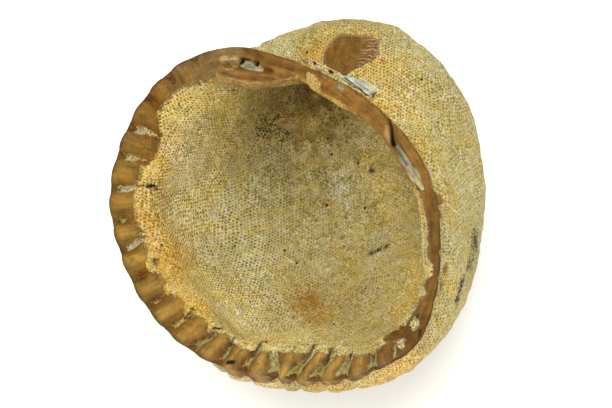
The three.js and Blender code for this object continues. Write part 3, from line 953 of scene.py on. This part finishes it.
def shell_tints(points, coords, past):
    """Tint of the bare shell: soft areas, the rim's crest and ribs with painted highlights and shade,
    painted light on the bottom strip of the convex side and a painted shadow under the crust there, the
    hinge with painted shade in its sockets and a painted highlight on its tooth, and the ligament's seat.
    """
    station, _, side, _ = coords.T
    depth = depth_inward(coords)
    on_hinge = hinge(station)
    bottom = smooth(station, 6.8, 7.4) * (1 - smooth(station, 9.8, 10.3))
    outer_bottom = bottom * (side == 2)
    crown = furrows(station, np.abs(depth))[1]
    tint = tinted(BROWN, points, SHELL_AREAS, 51)
    lamella = bell((depth - 0.45) / 0.35) * smooth(station, 6.3, 6.8) * (1 - smooth(station, 7.0, 7.6))
    tint = over(tint, LAMELLA, 0.7 * lamella)
    crest = 1 - smooth(np.abs(depth), 0.05, 0.5)
    tint = tint * (1 - 0.4 * (1 - 0.7 * bottom) * crest)[:, None]
    # Painted light: the bare strip down the convex side at the bottom faces downward, so it is lightened
    # against its shade.
    tint = tint * (1 + 0.35 * outer_bottom)[:, None]
    tint = over(tint, CRUST_SHADOW, 0.8 * outer_bottom * bell((past + 0.3) / 0.3))
    # Painted shade on the rib flanks and a painted highlight on their crowns; the flanks are also a warmer
    # orange and the crowns tan.
    rib_shading = 0.3 + 0.7 * smooth(station, 6.3, 7.2) * (1 - smooth(station, 12.6, 14.0))
    rib_shading *= np.maximum(smooth(depth, 0.2, 0.8), bottom) * (1 - on_hinge)
    tint = over(tint, RIB_FLANK_SHADE, 0.85 * rib_shading * (1 - smooth(crown, 0.2, 0.75)))
    tint = over(tint, RIB_TOP_HIGHLIGHT, 0.5 * rib_shading * smooth(crown, 0.75, 1.0))
    plate = (side == 1) & (on_hinge > 0)
    for start, end, radius, colour, strength in HINGE_COLOURS:
        weight = strength * (1 - smooth(capsule(points, start, end), 0.6 * radius, radius)) * plate
        tint = over(tint, srgb(*colour), weight)
    return over(tint, NYMPH_COLOUR, on_seat(points, coords))


def on_seat(points, coords):
    """1 on the ligament's seat where it shows, on the convex side and the crest."""
    return nymph(points) * ((coords[:, 2] == 2) | (depth_inward(coords) < 0.25))


def marked(tint, points, coords):
    """A tint with painted shade in the slits of the furrows and the single marks over it."""
    slit = slits(coords[:, 0], np.maximum(depth_inward(coords), 0))
    tint = over(tint, SLIT_SHADE, 0.95 * slit)
    for start, end, radius, colour, strength in MARKS:
        a, b = np.array(start), np.array(end)
        t = np.clip((points - a) @ (b - a) / ((b - a) @ (b - a)), 0, 1)[:, None]
        gap = np.linalg.norm((points - a - (b - a) * t) * (1, 1, 0.4), axis=1)
        tint = over(tint, srgb(*colour), strength * (1 - smooth(gap, 0.5 * radius, radius)))
    return tint


def masks(points, coords, past):
    """The material's masks, three to an attribute."""
    station, turn, side, _ = coords.T
    outer = side == 2
    depth = depth_inward(coords)
    seat = on_seat(points, coords)
    honey = np.where(outer, 0.72, 0.52) + 0.55 * np.clip(sum(areas(points, COMBED, 41)), 0, 1)
    rust = sum(areas(points, RUSTY, 61))
    dirt = sum(areas(points, DIRTY, 71))
    tear = np.where(hinge(station) > 0.5, 0.25, np.where(station > 6.3, 0.5, 0.3))
    tear = np.where(outer & (front(station) > 0.3), 1.3, tear)
    back = smooth(station, 2.2, 3.2) * (1 - smooth(station, 6.0, 8.5))
    banded = back * bell((depth - 11) / 9) * (side == 0)
    along = np.maximum(1 - smooth(station, 6.0, 7.0), smooth(station, 16.6, 17.4))
    umbo = outer * smooth(turn, 1.7, 2.1) * smooth(points[:, 1], 0.2, 1.0)
    rough = rough_floor(points) * (side == 0)
    filled = furrows(station, np.abs(depth))[2]
    filling = smooth(filled, -0.1, 0.2) * (side == 1)
    return {
        "zone": (np.where(seat > 0.05, 0.2 - 4 * seat, past), honey, dirt),
        "tone": (rust, tear, banded),
        "kind": (along, umbo, seat),
        "form": (rough, filling, np.zeros(len(points))),
        "line": (station * SPACING, depth, side),
    }


def add_attribute(mesh, name, kind, values):
    layer = mesh.attributes.new(name, kind, "POINT")
    if kind == "FLOAT_COLOR":
        layer.data.foreach_set("color", np.c_[values, np.ones(len(values))].astype(np.float32).ravel())
    else:
        layer.data.foreach_set("vector", values.astype(np.float32).ravel())


class Graph:
    """Short ways to add nodes: inputs given as sockets are linked, and others are set."""

    def __init__(self, tree):
        self.tree = tree

    def add(self, kind, *inputs, out=0, **settings):
        node = self.tree.nodes.new(kind)
        for key, value in settings.items():
            setattr(node, key, value)
        for index, value in enumerate(inputs):
            self.put(node.inputs[index], value)
        return node.outputs[out]

    def put(self, socket, value):
        if isinstance(value, bpy.types.NodeSocket):
            self.tree.links.new(value, socket)
        elif value is not None:
            socket.default_value = value

    def math(self, operation, a, b=None, c=None, clamp=False):
        return self.add("ShaderNodeMath", a, b, c, operation=operation, use_clamp=clamp)

    def times(self, a, b, clamp=False):
        return self.math("MULTIPLY", a, b, clamp=clamp)

    def plus(self, a, b):
        return self.math("ADD", a, b)

    def linear(self, value, slope, base):
        return self.math("MULTIPLY_ADD", value, slope, base)

    def vector(self, operation, a, b=None, out=0):
        return self.add("ShaderNodeVectorMath", a, b, operation=operation, out=out)

    def product(self, a, b):
        """Two colours or vectors multiplied channel by channel."""
        return self.vector("MULTIPLY", a, b)

    def scale(self, a, factor):
        node = self.tree.nodes.new("ShaderNodeVectorMath")
        node.operation = "SCALE"
        self.put(node.inputs[0], a)
        self.put(node.inputs["Scale"], factor)
        return node.outputs[0]

    def attribute(self, name, out="Vector"):
        node = self.tree.nodes.new("ShaderNodeAttribute")
        node.attribute_name = name
        return node.outputs[out]

    def split(self, vector):
        node = self.tree.nodes.new("ShaderNodeSeparateXYZ")
        self.put(node.inputs[0], vector)
        return node.outputs

    def join(self, x=0.0, y=0.0, z=0.0):
        return self.add("ShaderNodeCombineXYZ", x, y, z)

    def noise(self, vector, scale, detail=2.0, rough=0.5, shift=None, out="Fac"):
        """Noise over a place. A shift keeps one noise from following another."""
        if shift:
            vector = self.vector("ADD", vector, shift)
        node = self.tree.nodes.new("ShaderNodeTexNoise")
        self.put(node.inputs["Vector"], vector)
        node.inputs["Scale"].default_value = scale
        node.inputs["Detail"].default_value = detail
        node.inputs["Roughness"].default_value = rough
        return node.outputs[out]

    def ramp(self, value, low, high, to_low=0.0, to_high=1.0):
        """A smooth step from to_low to to_high as the value goes from low to high."""
        node = self.tree.nodes.new("ShaderNodeMapRange")
        node.interpolation_type = "SMOOTHSTEP"
        for index, number in enumerate((value, low, high, to_low, to_high)):
            self.put(node.inputs[index], number)
        return node.outputs[0]

    def mix(self, factor, a, b):
        """From colour a to colour b."""
        node = self.tree.nodes.new("ShaderNodeMix")
        node.data_type = "RGBA"
        self.put(node.inputs[0], factor)
        self.put(node.inputs[6], a)
        self.put(node.inputs[7], b)
        return node.outputs[2]

    def blend(self, factor, a, b):
        """From number a to number b."""
        node = self.tree.nodes.new("ShaderNodeMix")
        self.put(node.inputs[0], factor)
        self.put(node.inputs[2], a)
        self.put(node.inputs[3], b)
        return node.outputs[0]


def honeycomb_group():
    """Node group: pits in staggered rows over a plane. Pit is 1 inside a pit, Chance is one value a pit."""
    group = bpy.data.node_groups.new("honeycomb", "ShaderNodeTree")
    group.interface.new_socket("Place", in_out="INPUT", socket_type="NodeSocketVector")
    group.interface.new_socket("Pit", in_out="OUTPUT", socket_type="NodeSocketFloat")
    group.interface.new_socket("Chance", in_out="OUTPUT", socket_type="NodeSocketFloat")
    g = Graph(group)
    place_in = group.nodes.new("NodeGroupInput").outputs[0]
    cell = (1.0, math.sqrt(3), 1.0)
    at = g.scale(place_in, 1 / PIT_PITCH)
    gaps, chances = [], []
    for shift, seed in (((0.0, 0.0, 0.0), 0.0), ((0.5, math.sqrt(3) / 2, 0.0), 7.3)):
        moved = g.vector("DIVIDE", g.vector("ADD", at, shift), cell)
        inside = g.vector("SUBTRACT", g.vector("FRACTION", moved), (0.5, 0.5, 0.0))
        flat = g.product(inside, (cell[0], cell[1], 0.0))
        gaps.append(g.vector("LENGTH", flat, out="Value"))
        corner = g.vector("ADD", g.vector("FLOOR", moved), (seed, seed, seed))
        chances.append(g.add("ShaderNodeTexWhiteNoise", corner, out="Value"))
    gap = g.math("MINIMUM", gaps[0], gaps[1])
    first = g.math("LESS_THAN", gaps[0], gaps[1])
    chance = g.blend(first, chances[1], chances[0])
    radius = g.linear(chance, 0.1, 0.2)
    pit = g.ramp(g.math("SUBTRACT", gap, radius), -0.07, 0.07, 1.0, 0.0)
    end = group.nodes.new("NodeGroupOutput")
    g.put(end.inputs["Pit"], pit)
    g.put(end.inputs["Chance"], chance)
    return group


def surface(g):
    """What the vertex attributes say about a place, and the noises that several layers share."""
    s = SimpleNamespace()
    s.grown = g.attribute("grown")
    s.line = g.attribute("line")
    s.crust_tint = g.attribute("crust_tint", "Color")
    s.shell_tint = g.attribute("shell_tint", "Color")
    s.facing = g.split(g.vector("ABSOLUTE", g.attribute("facing")))
    s.past, s.honey, s.dirt = g.split(g.attribute("zone"))[:3]
    s.rust, s.tear, s.banded = g.split(g.attribute("tone"))[:3]
    s.along, s.umbo, s.seat = g.split(g.attribute("kind"))[:3]
    s.rough, s.filling = g.split(g.attribute("form"))[:2]
    s.mottle = g.noise(s.grown, 0.9, 4, 0.6)
    s.grain = g.noise(s.grown, 3.6, 2, 0.6)
    s.sand = g.noise(s.grown, 2.3, 4, 0.75)
    s.lumps = g.noise(s.grown, 0.75, 3, 0.55, shift=(5.0, 2.0, 8.0))
    over_ribs = g.noise(g.product(s.line, (1.5, 0.35, 1.0)), 1.0, 3, 0.6)
    with_edge = g.noise(g.product(s.line, (0.22, 1.9, 1.0)), 1.0, 3, 0.6)
    s.streak = g.blend(s.along, over_ribs, with_edge)
    return s


def past_patch(g, s):
    """Distance in mm past the edge of the umbo's bare patch, an egg. Anywhere else it is large."""
    blunt, blunt_radius = UMBO_PATCH["blunt"], UMBO_PATCH["blunt_radius"]
    axis = Vector(UMBO_PATCH["narrow"]) - Vector(blunt)
    from_blunt = g.product(g.vector("SUBTRACT", s.grown, blunt), (1.0, 1.0, 0.0))
    share = g.vector("DOT_PRODUCT", from_blunt, tuple(axis / axis.length_squared), out="Value")
    share = g.times(share, 1.0, clamp=True)
    off_axis = g.vector("SUBTRACT", from_blunt, g.scale(tuple(axis), share))
    gap = g.math("SUBTRACT", g.vector("LENGTH", off_axis, out="Value"), blunt_radius)
    gap = g.linear(share, blunt_radius - UMBO_PATCH["narrow_radius"], gap)
    uneven = g.linear(g.noise(s.grown, 0.9, 3), 0.5, -0.25)
    return g.plus(g.plus(gap, uneven), g.linear(s.umbo, -6.0, 6.0))


def honeycomb(g, s):
    """Pits on the growth frame's three planes, their rows bent by slow noise. Gives pit and chance."""
    bend = g.vector("SUBTRACT", g.noise(s.grown, 0.22, 1, out="Color"), (0.5, 0.5, 0.5))
    wobble = g.vector("SUBTRACT", g.noise(s.grown, 1.7, 1, out="Color"), (0.5, 0.5, 0.5))
    bent = g.vector("ADD", s.grown, g.vector("ADD", g.scale(bend, 1.1), g.scale(wobble, 0.24)))
    x, y, z = g.split(bent)[:3]
    group = honeycomb_group()
    pits, chances = [], []
    for place_on in (g.join(y, z), g.join(x, z), g.join(x, y)):
        node = g.tree.nodes.new("ShaderNodeGroup")
        node.node_tree = group
        g.put(node.inputs[0], place_on)
        pits.append(node.outputs["Pit"])
        chances.append(node.outputs["Chance"])
    flat = g.math("SUBTRACT", s.facing[2], g.math("MAXIMUM", s.facing[0], s.facing[1]))
    use_z = g.ramp(flat, -0.12, -0.04)
    use_x = g.ramp(g.math("SUBTRACT", s.facing[0], s.facing[1]), -0.04, 0.04)
    pit, chance = (g.blend(use_z, g.blend(use_x, v[1], v[0]), v[2]) for v in (pits, chances))
    patchy = g.ramp(g.noise(s.grown, 0.7, 3), 0.32, 0.55, 0.4, 1.0)
    open_pit = g.ramp(chance, 0.0, 0.5, 0.55, 1.0)
    pit = g.times(g.times(pit, open_pit), g.times(patchy, s.honey))
    return g.times(pit, g.linear(s.filling, -0.6, 1.0)), chance


def crust_colour(g, s, pit, chance):
    """Lumpy and grainy, with painted light and shade on the lumps, growth bands inside the back edge, yellow
    and pale spots, pits painted dark with shade, and ochre.
    """
    bands = g.noise(g.product(s.line, (0.07, 1.3, 0.0)), 1.0, 3, 0.6)
    calm = g.ramp(g.noise(s.grown, 0.4, 3, shift=(6.0, 1.0, 3.0)), 0.4, 0.58, 0.5, 1.15)
    calm = g.times(calm, g.linear(s.banded, -0.5, g.linear(s.rust, 0.4, 1.0)))
    fine = g.plus(g.ramp(s.sand, 0.32, 0.68, -0.28, 0.28), g.ramp(s.grain, 0.32, 0.68, -0.3, 0.3))
    light = g.linear(fine, calm, g.ramp(s.mottle, 0.32, 0.68, 0.9, 1.14))
    # Painted light and shade on the lumps of the rough floor: lighter where their bump rises, darker where
    # it sinks.
    light = g.plus(light, g.times(g.ramp(s.lumps, 0.35, 0.65, -0.3, 0.22), s.rough))
    light = g.plus(light, g.times(g.ramp(bands, 0.38, 0.62, -0.26, 0.26), s.banded))
    light = g.math("MAXIMUM", g.linear(s.honey, 0.16, light), 0.15)
    hue = g.noise(s.grown, 1.6, 4, 0.7, shift=(9.0, 5.0, 2.0))
    red = g.math("POWER", light, 0.93)
    green = g.times(light, g.ramp(hue, 0.34, 0.66, 1.02, 0.955))
    blue = g.times(g.math("POWER", light, 1.6), g.ramp(hue, 0.34, 0.66, 1.18, 0.58))
    wall = g.product(s.crust_tint, g.join(red, green, blue))
    yellow = g.ramp(g.noise(s.grown, 0.6, 4, 0.7, shift=(7.0, 3.0, 1.0)), 0.46, 0.66, 0.0, 0.7)
    broad = g.ramp(g.noise(s.grown, 0.2, 3, 0.6), 0.42, 0.62, -0.25, 0.3)
    yellow = g.plus(yellow, g.plus(broad, g.times(g.ramp(bands, 0.45, 0.6), s.banded)))
    wall = g.mix(g.times(yellow, 1.0, clamp=True), wall, g.product(wall, (1.06, 0.9, 0.55)))
    fleck = g.ramp(g.noise(s.grown, 2.0, 3, 0.7, shift=(1.0, 9.0, 4.0)), 0.57, 0.7)
    fleck = g.times(fleck, g.linear(s.rust, 0.75, 0.45), clamp=True)
    wall = g.mix(fleck, wall, g.product(wall, (1.18, 1.26, 1.55)))
    # Painted shade inside the pits; the rusty ones are also stained orange-brown.
    shaded_pit = g.product(s.crust_tint, (0.38, 0.3, 0.16))
    rusty_shaded_pit = g.product(s.crust_tint, (0.62, 0.34, 0.12))
    rusty = g.times(s.rust, g.ramp(chance, 0.2, 0.6), clamp=True)
    colour = g.mix(pit, wall, g.mix(rusty, shaded_pit, rusty_shaded_pit))
    ochre = g.ramp(g.noise(s.grown, 1.7, 3, 0.7, shift=(4.0, 4.0, 7.0)), 0.55, 0.66)
    ochre = g.times(ochre, g.linear(s.rust, 0.8, 0.14), clamp=True)
    return g.mix(ochre, colour, g.product(colour, (0.86, 0.58, 0.28)))


def bare_colour(g, s):
    """Streaks along growth lines or ribs, amber and grey clouds, stripes on the ligament's seat."""
    cloud = g.noise(s.grown, 0.55, 4, 0.65)
    shade = g.plus(g.ramp(s.streak, 0.3, 0.7, 0.78, 1.26), g.ramp(cloud, 0.3, 0.7, -0.3, 0.26))
    shade = g.plus(shade, g.ramp(s.sand, 0.3, 0.7, -0.09, 0.09))
    colour = g.scale(s.shell_tint, shade)
    amber = g.ramp(g.noise(s.grown, 0.8, 3, 0.6), 0.48, 0.68, 0.0, 0.6)
    colour = g.mix(amber, colour, g.product(colour, (1.3, 1.12, 0.8)))
    ashen = g.ramp(g.noise(s.grown, 0.7, 3, 0.6, shift=(3.0, 8.0, 2.0)), 0.54, 0.72, 0.0, 0.5)
    colour = g.mix(ashen, colour, g.product(colour, (1.04, 1.12, 1.4)))
    stripes = g.ramp(g.noise(g.product(s.line, (0.25, 3.2, 1.0)), 1.0, 2), 0.4, 0.6, -0.35, 0.25)
    return g.scale(colour, g.plus(g.times(stripes, s.seat), 1.0))


def patch_colour(g, s, past):
    """Smooth brown, with pale ribs across the back third of the patch, a pale outline and painted shade
    along its brink, under the crust's edge.
    """
    x, y = g.split(s.grown)[:2]
    shade = g.ramp(g.noise(s.grown, 0.9, 5, 0.75), 0.32, 0.68, 0.66, 1.36)
    colour = g.scale(tuple(PATCH_BROWN), shade)
    level = g.linear(x, -0.4, g.times(y, 0.875))
    level = g.linear(g.noise(s.grown, 0.9, 3), 1.1, level)
    ribs = g.ramp(g.math("SINE", g.times(level, 15.0)), 0.0, 0.8)
    broken = g.ramp(g.noise(s.grown, 1.4, 2), 0.35, 0.55)
    ribs = g.times(g.times(ribs, broken), g.ramp(g.linear(y, 0.3, x), 2.6, 4.0))
    outline = g.times(g.ramp(past, -0.3, -0.1), g.ramp(level, 1.0, 4.0, 0.1, 0.7))
    pale = g.times(g.math("MAXIMUM", ribs, outline), 0.65)
    colour = g.mix(pale, colour, (*PATCH_RIB, 1))
    # Painted shade along the brink, where the crust's edge stands over the patch.
    brink = g.times(g.ramp(past, -0.22, -0.06), g.ramp(level, 1.0, 4.0, 0.75, 0.25))
    return g.mix(brink, colour, (*PATCH_BRINK_SHADE, 1))


def soiling(g, s, pit, smooth_part):
    """Dark specks, dirt in clots, and single black pores. Smooth shell has little of them."""
    speck = g.noise(s.grown, 2.4, 3, 0.75, shift=(2.0, 6.0, 5.0))
    speckled = g.ramp(g.linear(s.dirt, 0.14, speck), 0.665, 0.72)
    voronoi = g.tree.nodes.new("ShaderNodeTexVoronoi")
    g.put(voronoi.inputs["Vector"], s.grown)
    voronoi.inputs["Scale"].default_value = 0.9
    luck = g.split(voronoi.outputs["Color"])[0]
    crowd = g.ramp(g.noise(s.grown, 0.25, 2), 0.35, 0.7, -0.12, 0.12)
    size = g.ramp(g.plus(g.linear(s.dirt, 0.2, luck), crowd), 0.74, 1.0, 0.0, 0.2)
    pore = g.ramp(g.math("SUBTRACT", voronoi.outputs["Distance"], size), -0.08, 0.0, 1.0, 0.0)
    black_pit = g.times(g.ramp(s.dirt, 0.55, 0.9), g.times(pit, 1.6), clamp=True)
    spots = g.math("MAXIMUM", g.math("MAXIMUM", pore, black_pit), g.times(speckled, 0.9))
    return g.times(spots, g.math("SUBTRACT", 1.0, g.times(smooth_part, 0.9)))


def fine_relief(g, s, pit, soiled, is_bare, smooth_part):
    """Height of the finest relief, in mm."""
    height = g.times(pit, -0.12)
    layers = [
        (soiled, -0.1),
        (s.grain, g.blend(smooth_part, 0.1, 0.02)),
        (s.mottle, g.blend(smooth_part, 0.2, 0.05)),
        (s.lumps, g.times(s.rough, 0.7)),
        (s.sand, g.blend(smooth_part, 0.34, 0.03)),
        (s.streak, g.times(is_bare, 0.1)),
        (smooth_part, -0.12),
    ]
    for layer, amount in layers:
        height = g.plus(height, g.times(layer, amount))
    return height


def shell_material():
    """Bare brown shell and chalky honeycombed crust in one material. Vertex attributes tell them apart."""
    material = bpy.data.materials.new("shell")
    material.use_nodes = True
    g = Graph(material.node_tree)
    s = surface(g)
    patch = past_patch(g, s)
    on_patch = g.ramp(patch, -0.1, 0.1, 1.0, 0.0)
    ragged = g.linear(g.noise(s.grown, 1.9, 4, 0.65), 2.4, -1.2)
    ragged = g.times(g.times(ragged, s.tear), g.linear(s.filling, -0.8, 1.0))
    is_bare = g.ramp(g.plus(s.past, ragged), -0.22, 0.2, 1.0, 0.0)
    smooth_part = g.math("MAXIMUM", is_bare, on_patch)
    pit, chance = honeycomb(g, s)
    soiled = soiling(g, s, pit, smooth_part)
    colour = g.mix(is_bare, crust_colour(g, s, pit, chance), bare_colour(g, s))
    colour = g.mix(on_patch, colour, patch_colour(g, s, patch))
    colour = g.mix(soiled, colour, (*SOIL, 1))
    bump = g.tree.nodes.new("ShaderNodeBump")
    bump.inputs["Distance"].default_value = MM
    bump.inputs["Strength"].default_value = 0.9
    g.put(bump.inputs["Height"], fine_relief(g, s, pit, soiled, is_bare, smooth_part))
    shader = g.tree.nodes["Principled BSDF"]
    shader.inputs["Specular IOR Level"].default_value = 0.15
    g.put(shader.inputs["Base Color"], colour)
    g.put(shader.inputs["Roughness"], g.blend(smooth_part, 0.95, 0.6))
    g.put(shader.inputs["Normal"], bump.outputs[0])
    return material


past = edge_distance(plain, coords)
crust_tint = marked(crust_tints(plain, coords, past), plain, coords)
shell_tint = marked(shell_tints(plain, coords, past), plain, coords)
add_attribute(shell.data, "crust_tint", "FLOAT_COLOR", crust_tint)
add_attribute(shell.data, "shell_tint", "FLOAT_COLOR", shell_tint)
add_attribute(shell.data, "grown", "FLOAT_VECTOR", plain)
add_attribute(shell.data, "facing", "FLOAT_VECTOR", normals)
for name, parts in masks(plain, coords, past).items():
    add_attribute(shell.data, name, "FLOAT_VECTOR", np.stack(parts, 1))
shell.data.materials.append(shell_material())
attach(shell, "root")
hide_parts("cockle_shell")

# ---------------------------------------------------------------------------------------------------------
# Floor, light and camera.


def make_floor():
    size = 3.0
    mesh = bpy.data.meshes.new("floor")
    mesh.from_pydata(
        [(-size, -size, 0), (size, -size, 0), (size, size, 0), (-size, size, 0)], [], [(0, 1, 2, 3)]
    )
    floor = bpy.data.objects.new("floor", mesh)
    bpy.context.scene.collection.objects.link(floor)
    paper = bpy.data.materials.new("white_paper")
    paper.use_nodes = True
    shader = paper.node_tree.nodes["Principled BSDF"]
    shader.inputs["Base Color"].default_value = (0.9, 0.9, 0.9, 1)
    shader.inputs["Roughness"].default_value = 0.9
    shader.inputs["Emission Color"].default_value = (1, 1, 1, 1)
    shader.inputs["Emission Strength"].default_value = 0.3
    mesh.materials.append(paper)


def area_light(name, position, target, size, power):
    data = bpy.data.lights.new(name, "AREA")
    data.shape = "SQUARE"
    data.size = size
    data.energy = power
    light = bpy.data.objects.new(name, data)
    light.location = position
    light.rotation_euler = (Vector(target) - Vector(position)).to_track_quat("-Z", "Y").to_euler()
    bpy.context.scene.collection.objects.link(light)


# The photograph's view: two of the camera's axes in the growth frame, and in mm its distance from the beak
# and the place that it aims at.
RIGHT = Vector((0.8111, 0.4775, -0.3379))
UP = Vector((-0.4044, 0.8751, 0.2659))
VIEW_DISTANCE = 330.0
AIM = (-2.81, -15.43)
LENS = 161.7


def make_camera():
    """Camera at the photograph's viewing angle."""
    tip = Matrix.Rotation(math.radians(TIP_DEG), 3, "X")
    beak = (CAD_LOW + BEAK_FROM_LOW * MM) * FIT + Vector(SHIFT)
    right, up = tip @ RIGHT, tip @ UP
    back = right.cross(up).normalized()
    up = back.cross(right).normalized()
    at = beak + back * VIEW_DISTANCE * FIT * MM
    aim = beak + (right * AIM[0] + up * AIM[1]) * FIT * MM
    away = (at - aim).normalized()
    across = (right - away * right.dot(away)).normalized()
    upward = away.cross(across)
    data = bpy.data.cameras.new("camera")
    data.sensor_width = 36
    data.lens = LENS
    data.clip_start = 0.01
    data.clip_end = 20
    camera = bpy.data.objects.new("camera", data)
    turn = Matrix((across, upward, away)).transposed()
    camera.matrix_world = Matrix.Translation(at) @ turn.to_4x4()
    bpy.context.scene.collection.objects.link(camera)
    bpy.context.scene.camera = camera


make_floor()
area_light("softbox", position=(0.0, 0.1, 0.7), target=(0, 0, 0.01), size=0.6, power=4)
world = bpy.data.worlds.new("studio")
world.use_nodes = True
world.node_tree.nodes["Background"].inputs["Color"].default_value = (1, 1, 1, 1)
world.node_tree.nodes["Background"].inputs["Strength"].default_value = 0.85
bpy.context.scene.world = world
bpy.context.scene.view_settings.view_transform = "Standard"
make_camera()
